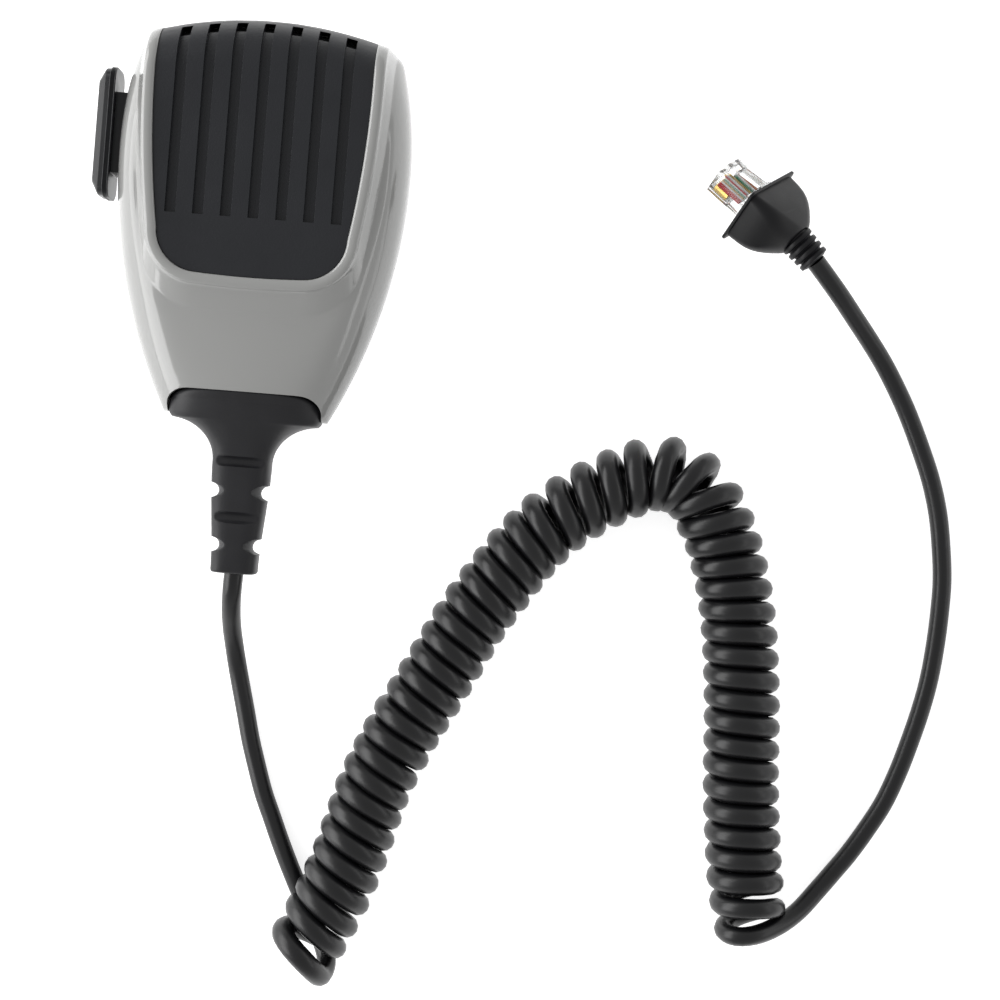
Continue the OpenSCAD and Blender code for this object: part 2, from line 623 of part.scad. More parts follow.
notch_face = [63.6, 77.8];
module wing_form(gap) intersection() {
    union() {
        skin([for (y = [-low_reach - 0.01, -low_reach + 2, -low_reach + 4.5, -low_reach + 8])
            ring_of(front_half(y, 0), y)]);
        skin([for (y = [-low_reach - 0.01, -low_reach + 2, -low_reach + 4.5, -low_reach + 8])
            ring_of(back_half(y, 0), y)], flip = true);
    }
    mouth(gap, 0, face_z);
}
flange_w = 35;
flange_h = 16.8;
flange_t = 2;
flange_y = -mouth_edge + end_wall + fit + flange_t;
tongue_w = 27;
tongue_h = 12;
module tongue(gap) translate([-tongue_w / 2 - gap, -low_reach + 1, boot_z - tongue_h / 2 - gap])
    cube([tongue_w + 2 * gap, flange_y + low_reach - 1 - flange_t / 2, tongue_h + 2 * gap]);
module cable_boot() color("#1b1c1e") difference() {
    union() {
        skin([for (d = boot_d) let (r = d == boot_end ? 0.8 : d < sweep_y ? 0.6 : 0)
            boot_ring(-d, boot_half_w(d) - r, boot_half_h(d) - r, d < neck_y ? 4 : 3.2)], flip = true);
        wing_form(fit);
        // Tongue with a flange behind the mouth, which the two shells trap
        tongue(0);
        skin([for (y = [flange_y, flange_y - flange_t]) boot_ring(y, flange_w / 2, flange_h / 2, 4)],
            flip = true);
    }
    translate([0, -boot_end - 1, boot_z]) rotate([-90, 0, 0]) cylinder(d = cord_d, h = 60, $fn = 32);
    for (d = notch_side) for (s = [-1, 1]) translate([s * (boot_half_w(d) - 0.1), -d, boot_z - boot_neck_h])
        cylinder(d = notch_d, h = 2 * boot_neck_h, $fn = 24);
    for (d = notch_face) for (s = [-1, 1]) translate([-boot_neck_w, -d, boot_z + s * (boot_half_h(d) + 0.2)])
        rotate([0, 90, 0]) cylinder(d = face_notch_d, h = 2 * boot_neck_w, $fn = 24);
}
module cord_inner() color("#141516") translate([0, -boot_end, boot_z]) rotate([-90, 0, 0])
    cylinder(d = cord_d, h = boot_end + cord_in_y, $fn = 32);
module cable_clamp() color("#5c5f62") difference() {
    translate([-clamp_x - 3, clamp_y - 3, boot_z]) cube([2 * clamp_x + 6, 6, clamp_t]);
    cord_way(cord_d);
    for (s = [-1, 1]) translate([s * clamp_x, clamp_y, boot_z - 1])
        cylinder(d = small_screw_d + 2 * fit, h = clamp_t + 2, $fn = 24);
}
module clamp_screws() color("#b9bcbe") for (s = [-1, 1]) translate([s * clamp_x, clamp_y, 0]) {
    translate([0, 0, boot_z - 5]) cylinder(d = small_screw_d, h = clamp_t + 5, $fn = 24);
    translate([0, 0, boot_z + clamp_t]) cylinder(d = small_head_d, h = small_head_t, $fn = 24);
}

// ---- Free cord ----
// Place of the plug's boot: middle of its front face
plug_at = [126.9, 13.7, 12.85];
plug_yaw = 140;
plug_pitch = 12;
plug_roll = 47;
relief_yaw = -43.3;
relief_base = plug_at + (pboot_l - 1.5) * [-cos(plug_pitch) * cos(plug_yaw),
    -cos(plug_pitch) * sin(plug_yaw), sin(plug_pitch)];
relief_run = [cos(relief_yaw), sin(relief_yaw), 0];
relief_tip = relief_base + (relief_l + 1) * relief_run;
// Straight stretch from the boot to the coil
lead_route = [[0, -boot_end, boot_z], [-0.2, -96, boot_z - 0.6], [-0.5, -101, boot_z - 4], [-0.5, -106, 10.5],
    [0, -111, 6.5], [1, -117, 3.6], [2.4, -123, 2.5], [4, -129, 2.5], [5.8, -136, 2.5], [8, -143, 2.5],
    [10.4, -150, 2.5], [13, -156, 2.5], [15.6, -162, 2.5], [18.4, -168, 2.5], [21.4, -174, 2.5],
    [24.4, -180, 2.5], [27, -185, 2.5]];
// Middle line of the curly stretch, its outer skin touches the ground
coil_route = [[21, -195], [24, -189], [27, -182], [30, -175], [33, -166], [36, -156], [39, -146], [43, -136],
    [47, -126], [52, -117], [57, -108], [62.5, -98], [68.5, -89], [75, -80], [82.5, -72], [91, -65.5],
    [99.8, -60.6], [108.5, -58], [116.8, -61.1], [122.2, -68.6], [126, -76.5], [128.9, -86], [131, -97],
    [132.5, -110], [133.5, -123], [134.5, -136], [136, -149], [137.5, -160], [139.5, -170]];
// Straight stretch from the coil to the plug
tail_route = [[136.5, -166, 2.5], [137.3, -171.5, 2.5], [140.5, -175.6, 2.5], [146, -175.4, 2.5],
    [151.5, -171.9, 2.5], [156.1, -166.8, 2.5], [160.6, -160.8, 2.5], [165, -154.7, 2.5],
    [169.4, -147.6, 2.5], [173.6, -139.9, 2.5], [176.8, -131.5, 2.5], [179.2, -123.5, 2.5],
    [181.3, -115.5, 2.5], [183, -107, 2.5], [184, -98, 2.5], [184.5, -89, 2.5], [184.5, -80, 2.5], [183.5, -71, 2.5],
    [182, -62.5, 2.5], [179.5, -54, 2.5], [176, -45.5, 2.5], [172, -37, 2.7], [168, -30, 3.4],
    [164, -24, 4.6], [159.5, -18.5, 6.8], [154.5, -13, 10], [149.5, -7.5, 13], relief_tip];
function unit(v) = v / norm(v);
function tangent(r, i) = unit(r[min(i + 1, len(r) - 1)] - r[max(i - 1, 0)]);
module swept(route, d, sides, from = [], to = []) skin([for (i = [0:len(route) - 1]) let (
    t = i == 0 && len(from) > 0 ? from : i == len(route) - 1 && len(to) > 0 ? to : tangent(route, i),
    s = unit(cross(t, [0, 0, 1])),
    u = cross(s, t))
    [for (k = [0:sides - 1]) let (a = 360 * k / sides) route[i] + d / 2 * (s * cos(a) + u * sin(a))]]);
module cord_lead() color("#141516") swept(lead_route, cord_d, 8, [0, -1, 0]);
module cord_coil() color("#141516") swept([for (p = coil_route) [p[0], p[1], coil_d / 2]], coil_d, 12);
module cord_tail() color("#141516") swept(tail_route, cord_d, 8, [], -relief_run);

// ---- Plug: its own frame has +X towards the tip, +Z on the latch side ----
module plug_place() translate(plug_at) rotate([0, 0, plug_yaw]) rotate([0, plug_pitch, 0])
    rotate([plug_roll, 0, 0]) children();
// Rounded rectangle across the plug's axis
function box_ring(x, w, t, r) = [for (q = [0:3]) let (cx = [1, -1, -1, 1][q], cz = [1, 1, -1, -1][q])
    for (a = [0:30:90]) [x, cx * (w / 2 - r) + r * cos(90 * q + a), cz * (t / 2 - r) + r * sin(90 * q + a)]];
latch_room = 3.4;
module plug_shell() plug_place() difference() {
    skin([box_ring(0, pboot_w + 1.6, pboot_t + 1.6, 1.2), box_ring(-0.7, pboot_w + 1.6, pboot_t + 1.6, 1.2),
        box_ring(-0.75, pboot_w, pboot_t, 2), box_ring(-2.5, pboot_w, pboot_t, 2.4),
        box_ring(-6, pboot_w - 0.2, pboot_t - 0.2, 3),
        box_ring(-pboot_l * 0.68, pboot_w - 2.4, pboot_t - 1.6, 4),
        box_ring(-pboot_l * 0.88, pboot_w - 6, pboot_t - 3.6, 4.4),
        box_ring(-pboot_l, relief_d + 1, relief_d, 4.2)]);
    translate([plug_show - plug_l - 0.1, -plug_w / 2, -plug_t / 2]) cube([plug_l, plug_w, plug_t]);
    translate([-9, -plug_w / 2 + 2, plug_t / 2 - 0.5]) cube([plug_l, plug_w - 4, latch_room + 0.5]);
}
relief_ribs = 4;
rib_depth = 0.9;
module plug_relief() translate(relief_base) rotate([0, 0, relief_yaw]) rotate([0, 90, 0])
    rotate_extrude($fn = 32) polygon(concat([[0, 0], [relief_d / 2 - rib_depth, 0]],
        [for (i = [0:relief_ribs - 1]) let (p = relief_l / relief_ribs, x = 1 + i * p,
            r = relief_d / 2 - 0.12 * i)
            each [[r - rib_depth, x + p * 0.1], [r, x + p * 0.25], [r, x + p * 0.8],
                [r - rib_depth, x + p * 0.95]]],
        [[0, relief_l + 1]]));
module plug_boot() color("#161718") {
    plug_shell();
    plug_relief();
}

// Modular plug: clear body with a wire bore for each contact
way_n = 8;
way_pitch = 1.02;
wire_d = 0.9;
way_x = plug_show - 9;
root_l = 3.2;
root_w = 6.2;
latch_w = 3.3;
latch_t = 1.2;
latch_z = plug_t / 2 + 0.5;
latch_l = 11;
module plug_body() color("#e6edf0", 0.5) plug_place() difference() {
    union() {
        translate([plug_show - plug_l, -plug_w / 2, -plug_t / 2]) cube([plug_l, plug_w, plug_t]);
        translate([plug_show - root_l, -root_w / 2, plug_t / 2 - 0.1]) cube([root_l, root_w, 1.5]);
    }
    for (i = [0:way_n - 1]) translate([way_x, (i - (way_n - 1) / 2) * way_pitch, -0.6]) {
        rotate([0, 90, 0]) cylinder(d = wire_d + 2 * 0.02, h = 7.6, $fn = 16);
        translate([3.4, -0.18, -plug_t]) cube([4.6, 0.36, plug_t - wire_d / 2 - 0.1]);
    }
    translate([plug_show - plug_l - 1, 0, -0.6]) rotate([0, 90, 0])
        cylinder(d = cord_d - 0.4, h = way_x - plug_show + plug_l + 1, $fn = 32);
}
// The latch springs up from the root at its hinge line
latch_gap = 0.3;
latch_tilt = 6;
latch_hinge = [plug_show - root_l - latch_gap / 2, 0, latch_z + latch_t / 2];
module plug_latch() color("#e6edf0", 0.5) plug_place() translate(latch_hinge) rotate([0, latch_tilt, 0]) {
    translate([-latch_l, -latch_w / 2, -latch_t / 2]) cube([latch_l - latch_gap, latch_w, latch_t]);
    translate([-latch_l, -root_w / 2, -latch_t / 2]) cube([4, root_w, latch_t]);
}
module plug_contacts() color("#d9a93a") plug_place() for (i = [0:way_n - 1])
    translate([way_x + 3.6, (i - (way_n - 1) / 2) * way_pitch - 0.15, -plug_t / 2 + 0.5])
        cube([4.2, 0.3, plug_t / 2 - 1.65]);
wire_colors = ["red", "gold", "green", "white", "red", "orange", "white", "gold"];
module plug_wires() plug_place() for (i = [0:way_n - 1]) color(wire_colors[i])
    translate([way_x, (i - (way_n - 1) / 2) * way_pitch, -0.6]) rotate([0, 90, 0])
        cylinder(d = wire_d, h = 7.4, $fn = 16);

front_shell();
rear_shell();
grille();
grille_cloth();
ptt_button();
ptt_springs();
ptt_switch();
switch_plunger();
cable_boot();
cord_inner();
cable_clamp();
clamp_screws();
hanger_stud();
stud_screw();
stud_washer();
housing_screws();
mic_capsule();
capsule_holder();
circuit_board();
board_screws();
board_connector();
inner_leads();
cord_lead();
cord_coil();
cord_tail();
plug_boot();
plug_body();
plug_latch();
plug_contacts();
plug_wires();
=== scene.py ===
"""Looks of a hand microphone: housing, slatted grille, talk bar, cable boot, curly cord and clear plug.

Sizes in the classes are millimetres and become metres where a piece is placed. The origin is the middle of
the hang-up stud's outer face, +Y runs to the top end and +Z to the grille.
"""

import logging
import math
from dataclasses import dataclass, field
from enum import Enum
from typing import Callable, Sequence

import bmesh
import bpy
from mathutils import Matrix, Vector


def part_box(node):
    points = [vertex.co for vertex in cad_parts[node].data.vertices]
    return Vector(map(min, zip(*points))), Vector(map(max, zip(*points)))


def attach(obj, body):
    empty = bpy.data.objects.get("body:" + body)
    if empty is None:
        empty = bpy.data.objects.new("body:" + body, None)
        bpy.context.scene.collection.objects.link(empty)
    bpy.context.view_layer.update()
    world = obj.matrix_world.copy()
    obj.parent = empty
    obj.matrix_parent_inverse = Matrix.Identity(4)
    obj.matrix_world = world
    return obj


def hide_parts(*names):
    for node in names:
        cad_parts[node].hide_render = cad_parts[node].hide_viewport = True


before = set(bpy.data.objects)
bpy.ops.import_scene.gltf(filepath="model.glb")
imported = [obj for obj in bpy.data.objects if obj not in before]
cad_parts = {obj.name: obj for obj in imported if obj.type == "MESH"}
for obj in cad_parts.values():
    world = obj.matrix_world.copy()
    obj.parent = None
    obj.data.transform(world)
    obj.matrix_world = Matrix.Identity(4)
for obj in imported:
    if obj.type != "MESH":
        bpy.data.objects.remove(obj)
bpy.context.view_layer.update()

MM = 0.001
Piece = bpy.types.Object
Colour = tuple[float, float, float]
Place = tuple[float, float, float]
Plan = tuple[float, float]
Ring = list[Place]
Steps = tuple[Plan, ...]
Slab = tuple[float, float, float, float]
Inputs = dict[str | int, object]
log = logging.getLogger("hand_microphone")


def ease(t: float) -> float:
    """Smooth step from 0 to 1."""
    c = min(1.0, max(0.0, t))
    return c * c * (3 - 2 * c)


def sag(radius: float, run: float) -> float:
    """Drop of an arc of that radius at a distance from its highest point."""
    return radius - math.sqrt(max(0.0, radius * radius - run * run))


def bow(rise: float, run: float, length: float) -> float:
    """Rise of a quarter ellipse of that length."""
    share = min(1.0, max(0.0, run / length))
    return rise * (1 - math.sqrt(max(0.0, 1 - share * share)))


def rounded(x: float, middle: Plan, size: Plan, r: float) -> Ring:
    """Rounded rectangle across the X axis, from its +Y and +Z corner round.

    Args:
        x: place along the axis.
        middle: its middle.
        size: its width and height.
        r: the radius of its corners.

    Returns:
        The ring.
    """
    ring = []
    for q, (sy, sz) in enumerate(((1, 1), (-1, 1), (-1, -1), (1, -1))):
        for k in range(9):
            a = math.radians(90 * q + 90 * k / 8)
            ring.append((x, middle[0] + sy * (size[0] / 2 - r) + r * math.cos(a),
                         middle[1] + sz * (size[1] / 2 - r) + r * math.sin(a)))
    return ring


def drawn_to(outer: Sequence[Plan], inner: Sequence[Plan], share: float) -> list[Plan]:
    """Outline part of the way from one outline to another."""
    return [(x0 + (x1 - x0) * share, y0 + (y1 - y0) * share) for (x0, y0), (x1, y1) in zip(outer, inner)]


def flat(plan: Sequence[Plan], z: float) -> Ring:
    """An outline laid level at a height."""
    return [(x, y, z) for x, y in plan]


def soft_min(a: float, b: float, blend: float) -> float:
    """The smaller of two heights, with a rounded change from one to the other."""
    h = max(0.0, blend - abs(a - b)) / blend
    return min(a, b) - h * h * blend / 4


class Bench:
    """Modelling steps that the sub-assemblies share."""

    @staticmethod
    def clear() -> None:
        """Leave edit mode and deselect everything."""
        if bpy.context.mode != "OBJECT":
            bpy.ops.object.mode_set(mode="OBJECT")
        bpy.ops.object.select_all(action="DESELECT")

    @staticmethod
    def pick(piece: Piece) -> None:
        """Make a piece the only selected and active one.

        Args:
            piece: the object.
        """
        Bench.clear()
        piece.select_set(True)
        bpy.context.view_layer.objects.active = piece

    @staticmethod
    def added(label: str) -> Piece:
        """Name the primitive that was just added.

        Args:
            label: its name.

        Returns:
            The primitive.
        """
        piece = bpy.context.active_object
        piece.name = piece.data.name = label
        return piece

    @staticmethod
    def settle(piece: Piece) -> None:
        """Write a piece's place, turn and scale into its mesh."""
        Bench.pick(piece)
        bpy.ops.object.transform_apply(location=True, rotation=True, scale=True)

    @staticmethod
    def modify(piece: Piece, kind: str, **settings: object) -> None:
        """Add one modifier with its settings and apply it.

        Args:
            piece: the mesh to change.
            kind: the modifier's type.
            settings: its properties.
        """
        modifier = piece.modifiers.new(kind.title(), kind)
        for key, value in settings.items():
            setattr(modifier, key, value)
        Bench.pick(piece)
        bpy.ops.object.modifier_apply(modifier=modifier.name)

    @staticmethod
    def bevel(piece: Piece, width: float, segments: int = 2, angle: float = 35) -> None:
        """Round the edges sharper than an angle, by a width in millimetres."""
        Bench.modify(piece, "BEVEL", width=width * MM, segments=segments, limit_method="ANGLE",
                     angle_limit=math.radians(angle), use_clamp_overlap=True, harden_normals=False)

    @staticmethod
    def smooth(piece: Piece, angle: float = 32) -> None:
        """Shade smooth across edges flatter than an angle."""
        Bench.pick(piece)
        bpy.ops.object.shade_smooth_by_angle(angle=math.radians(angle))

    @staticmethod
    def cut(piece: Piece, cutter: Piece, keep: str = "DIFFERENCE") -> None:
        """Cut one solid with another and discard the cutter."""
        Bench.modify(piece, "BOOLEAN", operation=keep, solver="EXACT", object=cutter)
        bpy.data.objects.remove(cutter)

    @staticmethod
    def outward(piece: Piece, weld: float = 0.001) -> None:
        """Merge doubles closer than a distance in millimetres and turn all faces outwards.

        Args:
            piece: the closed mesh.
            weld: that distance.
        """
        Bench.pick(piece)
        bpy.ops.object.mode_set(mode="EDIT")
        bpy.ops.mesh.select_all(action="SELECT")
        bpy.ops.mesh.remove_doubles(threshold=weld * MM)
        bpy.ops.mesh.normals_make_consistent(inside=False)
        bpy.ops.object.mode_set(mode="OBJECT")

    @staticmethod
    def box(label: str, centre: Place, size: Place) -> Piece:
        """A block at its place in millimetres, to be shaped further.

        Args:
            label: the piece's name.
            centre: its middle.
            size: its sides.

        Returns:
            The block.
        """
        Bench.clear()
        bpy.ops.mesh.primitive_cube_add(size=1, location=Vector(centre) * MM, scale=Vector(size) * MM)
        piece = Bench.added(label)
        Bench.settle(piece)
        return piece

    @staticmethod
    def rod(label: str, centre: Place, radius: float, length: float, axis: Vector = Vector((0, 0, 1)),
            sides: int = 32) -> Piece:
        """A round bar about an axis through its middle, in millimetres, to be shaped further.

        Args:
            label: the piece's name.
            centre: its middle.
            radius: its radius.
            length: its length.
            axis: direction of its axis.
            sides: how many flats stand for the round.

        Returns:
            The bar.
        """
        Bench.clear()
        bpy.ops.mesh.primitive_cylinder_add(vertices=sides, radius=radius * MM, depth=length * MM,
                                            location=Vector(centre) * MM,
                                            rotation=axis.to_track_quat("Z", "Y").to_euler())
        piece = Bench.added(label)
        Bench.settle(piece)
        return piece

    @staticmethod
    def loft(label: str, rings: Sequence[Ring], ring_closed: bool = False) -> Piece:
        """Extrude a circle's edge from ring to ring and put each extrusion on its section.

        Args:
            label: the piece's name.
            rings: sections in millimetres, each with as many points, in order.
            ring_closed: whether the last section is bridged back to the first, instead of both being filled.

        Returns:
            The closed mesh.
        """
        Bench.clear()
        bpy.ops.mesh.primitive_circle_add(vertices=len(rings[0]), radius=MM)
        piece = Bench.added(label)
        bpy.ops.object.mode_set(mode="EDIT")
        net = bmesh.from_edit_mesh(piece.data)
        spot, row = net.verts.layers.int.new("spot"), net.verts.layers.int.new("row")
        for k, vert in enumerate(net.verts):
            vert[spot], vert.co = k, Vector(rings[0][k]) * MM
        bpy.ops.mesh.select_all(action="SELECT")
        for number, ring in enumerate(rings[1:], 1):
            bpy.ops.mesh.extrude_region()
            net = bmesh.from_edit_mesh(piece.data)
            spot, row = net.verts.layers.int["spot"], net.verts.layers.int["row"]
            for vert in net.verts:
                if vert.select:
                    vert[row], vert.co = number, Vector(ring[vert[spot]]) * MM
        if not ring_closed:
            bpy.ops.mesh.edge_face_add()
        net = bmesh.from_edit_mesh(piece.data)
        row = net.verts.layers.int["row"]
        ends = {0, len(rings) - 1} if ring_closed else {0}
        for edge in net.edges:
            edge.select = edge.verts[0][row] == edge.verts[1][row] and edge.verts[0][row] in ends
        bmesh.update_edit_mesh(piece.data)
        bpy.ops.mesh.select_mode(type="EDGE")
        if ring_closed:
            bpy.ops.mesh.bridge_edge_loops()
        else:
            bpy.ops.mesh.edge_face_add()
        bpy.ops.mesh.select_mode(type="VERT")
        bpy.ops.object.mode_set(mode="OBJECT")
        for layer in ("spot", "row"):
            piece.data.attributes.remove(piece.data.attributes[layer])
        Bench.outward(piece)
        return piece

    @staticmethod
    def lathe(label: str, profile: Sequence[Plan], sides: int = 64) -> Piece:
        """Spin an outline of (radius, height) points about +Z.

        Args:
            label: the piece's name.
            profile: the outline in millimetres, from axis to axis.
            sides: steps of the spin.

        Returns:
            The closed round mesh.
        """
        turn = [2 * math.pi * k / sides for k in range(sides)]
        rings = [[(r * math.cos(a), r * math.sin(a), z) for a in turn] for r, z in profile]
        return Bench.loft(label, rings)

    @staticmethod
    def copy_of(node: str, label: str) -> Piece:
        """A welded copy of a CAD node's mesh, with its flat faces joined, to be finished further.

        Args:
            node: the CAD node's name.
            label: the copy's name.

        Returns:
            The copy.
        """
        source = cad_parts[node]
        piece = source.copy()
        piece.data = source.data.copy()
        for key in list(piece.keys()):
            del piece[key]
        piece.parent = None
        piece.matrix_world = Matrix.Identity(4)
        piece.name = piece.data.name = label
        bpy.context.scene.collection.objects.link(piece)
        piece.data.materials.clear()
        Bench.outward(piece)
        Bench.pick(piece)
        bpy.ops.object.mode_set(mode="EDIT")
        bpy.ops.mesh.select_all(action="SELECT")
        bpy.ops.mesh.dissolve_limited(angle_limit=math.radians(1.5))
        bpy.ops.object.mode_set(mode="OBJECT")
        return piece

    @staticmethod
    def joined(label: str, pieces: Sequence[Piece]) -> Piece:
        """Join several meshes into one piece.

        Args:
            label: the whole's name.
            pieces: the meshes.

        Returns:
            The whole.
        """
        Bench.pick(pieces[0])
        for piece in pieces[1:]:
            piece.select_set(True)
        bpy.ops.object.join()
        return Bench.added(label)


# ---------------------------------------------------------------- finishes


class Graph:
    """Nodes of a material or the world, where a socket holds a value or is fed by another node's output."""

    def __init__(self, owner: bpy.types.Material | bpy.types.World) -> None:
        """Start from the owner's first nodes."""
        owner.use_nodes = True
        self.tree = owner.node_tree

    def feed(self, node: bpy.types.Node, inputs: Inputs) -> None:
        """Set or link sockets of a node.

        Args:
            node: the node.
            inputs: what its sockets hold.
        """
        for socket, value in inputs.items():
            if isinstance(value, bpy.types.NodeSocket):
                self.tree.links.new(value, node.inputs[socket])
            else:
                node.inputs[socket].default_value = value

    def add(self, kind: str, output: str, inputs: Inputs | None = None,
            **settings: object) -> bpy.types.NodeSocket:
        """Add a node.

        Args:
            kind: its type, without the prefix.
            output: which of its outputs is wanted.
            inputs: what its sockets hold.
            settings: its properties.

        Returns:
            The output's socket.
        """
        node = self.tree.nodes.new(f"ShaderNode{kind}")
        for key, value in settings.items():
            setattr(node, key, value)
        self.feed(node, inputs or {})
        return node.outputs[output]


class Texture(Enum):
    """Kinds of surface relief."""

    SMOOTH = "smooth"
    GRAINED = "grained"
    BRUSHED = "brushed"
    WOVEN = "woven"


@dataclass(frozen=True)
class Surface:
    """A named surface whose material has one shader."""

    name: str

    def make(self) -> bpy.types.Material:
        """Build the node material.

        Returns:
            The material, ready to assign.
        """
        material = bpy.data.materials.new(self.name)
        graph = Graph(material)
        graph.feed(graph.tree.nodes["Principled BSDF"], self.sockets(graph))
        return material

    def sockets(self, graph: Graph) -> Inputs:
        """What the shader's sockets hold, which each kind of surface says for itself."""
        raise NotImplementedError


@dataclass(frozen=True)
class Finish(Surface):
    """An opaque finish: colour, gloss, fine relief and slight unevenness, in the piece's own coordinates."""

    colour: Colour
    roughness: float
    metallic: float = 0.0
    coat: float = 0.0
    texture: Texture = Texture.SMOOTH
    grain: float = 2500.0
    depth: float = 0.01
    mottle: float = 0.06
    patch: float = 60.0
    specular: float = 0.5

    def sockets(self, graph: Graph) -> Inputs:
        """Sockets of an uneven surface with relief.

        Args:
            graph: the material's nodes.

        Returns:
            What the shader's sockets hold.
        """
        place = graph.add("TexCoord", "Object")
        patches = graph.add("TexNoise", "Fac", {"Vector": place, "Scale": self.patch, "Detail": 4})
        dark, pale = [(*[min(1.0, c * (1 + m)) for c in self.colour], 1) for m in (-self.mottle, self.mottle)]
        tint = {"Factor": patches, "A": dark, "B": pale}
        gloss = {"Value": patches, "From Min": 0.3, "From Max": 0.7, "To Min": self.roughness * 0.88,
                 "To Max": min(1.0, self.roughness * 1.14)}
        relief = {"Distance": self.depth * MM, "Height": self.height(graph, place)}
        return {"Base Color": graph.add("Mix", "Result", tint, data_type="RGBA"),
                "Roughness": graph.add("MapRange", "Result", gloss),
                "Normal": graph.add("Bump", "Normal", relief),
                "Metallic": self.metallic, "Specular IOR Level": self.specular,
                "Coat Weight": self.coat, "Coat Roughness": 0.08}

    def height(self, graph: Graph, place: bpy.types.NodeSocket) -> bpy.types.NodeSocket:
        """Height pattern of the relief.

        Args:
            graph: the material's nodes.
            place: the coordinates that the pattern follows.

        Returns:
            The socket that holds the height.
        """
        if self.texture is Texture.WOVEN:
            weave = {"Vector": place, "Scale": self.grain, "Distortion": 1.5}
            return graph.add("TexWave", "Fac", weave, bands_direction="DIAGONAL")
        if self.texture is Texture.BRUSHED:
            place = graph.add("Mapping", "Vector", {"Vector": place, "Scale": (1, 1, 0.04)})
        detail = 3 if self.texture is Texture.GRAINED else 2
        return graph.add("TexNoise", "Fac", {"Vector": place, "Scale": self.grain, "Detail": detail,
                                             "Roughness": 0.6})


@dataclass(frozen=True)
class ClearFinish(Surface):
    """Clear moulded plastic with faint flow marks."""

    tint: Colour = (0.96, 0.97, 0.97)
    roughness: float = 0.14

    def sockets(self, graph: Graph) -> Inputs:
        """Sockets of a clear surface.

        Args:
            graph: the material's nodes.

        Returns:
            What the shader's sockets hold.
        """
        place = graph.add("TexCoord", "Object")
        flow = graph.add("TexNoise", "Fac", {"Vector": place, "Scale": 350, "Detail": 2})
        gloss = {"Value": flow, "To Min": self.roughness * 0.5, "To Max": self.roughness * 1.6}
        return {"Base Color": (*self.tint, 1), "Transmission Weight": 1, "IOR": 1.45,
                "Roughness": graph.add("MapRange", "Result", gloss),
                "Normal": graph.add("Bump", "Normal", {"Distance": 0.03 * MM, "Height": flow})}


@dataclass(frozen=True)
class TableTop(Surface):
    """Matt white that glows where the camera or a reflection sees it."""

    white: float = 0.9
    glow: float = 0.75

    def sockets(self, graph: Graph) -> Inputs:
        """Sockets of a surface that is white to some rays.

        Args:
            graph: the material's nodes.

        Returns:
            What the shader's sockets hold.
        """
        rays = graph.add("LightPath", "Is Camera Ray").node.outputs
        seen = graph.add("Math", "Value", {0: rays["Is Camera Ray"], 1: rays["Is Transmission Ray"]},
                         operation="MAXIMUM")
        seen = graph.add("Math", "Value", {0: seen, 1: rays["Is Glossy Ray"]}, operation="MAXIMUM")
        glow = graph.add("Math", "Value", {0: seen, 1: self.glow}, operation="MULTIPLY")
        return {"Base Color": (*[self.white] * 3, 1), "Roughness": 0.9, "Specular IOR Level": 0.1,
                "Emission Color": (1, 1, 1, 1),
                "Emission Strength": glow}


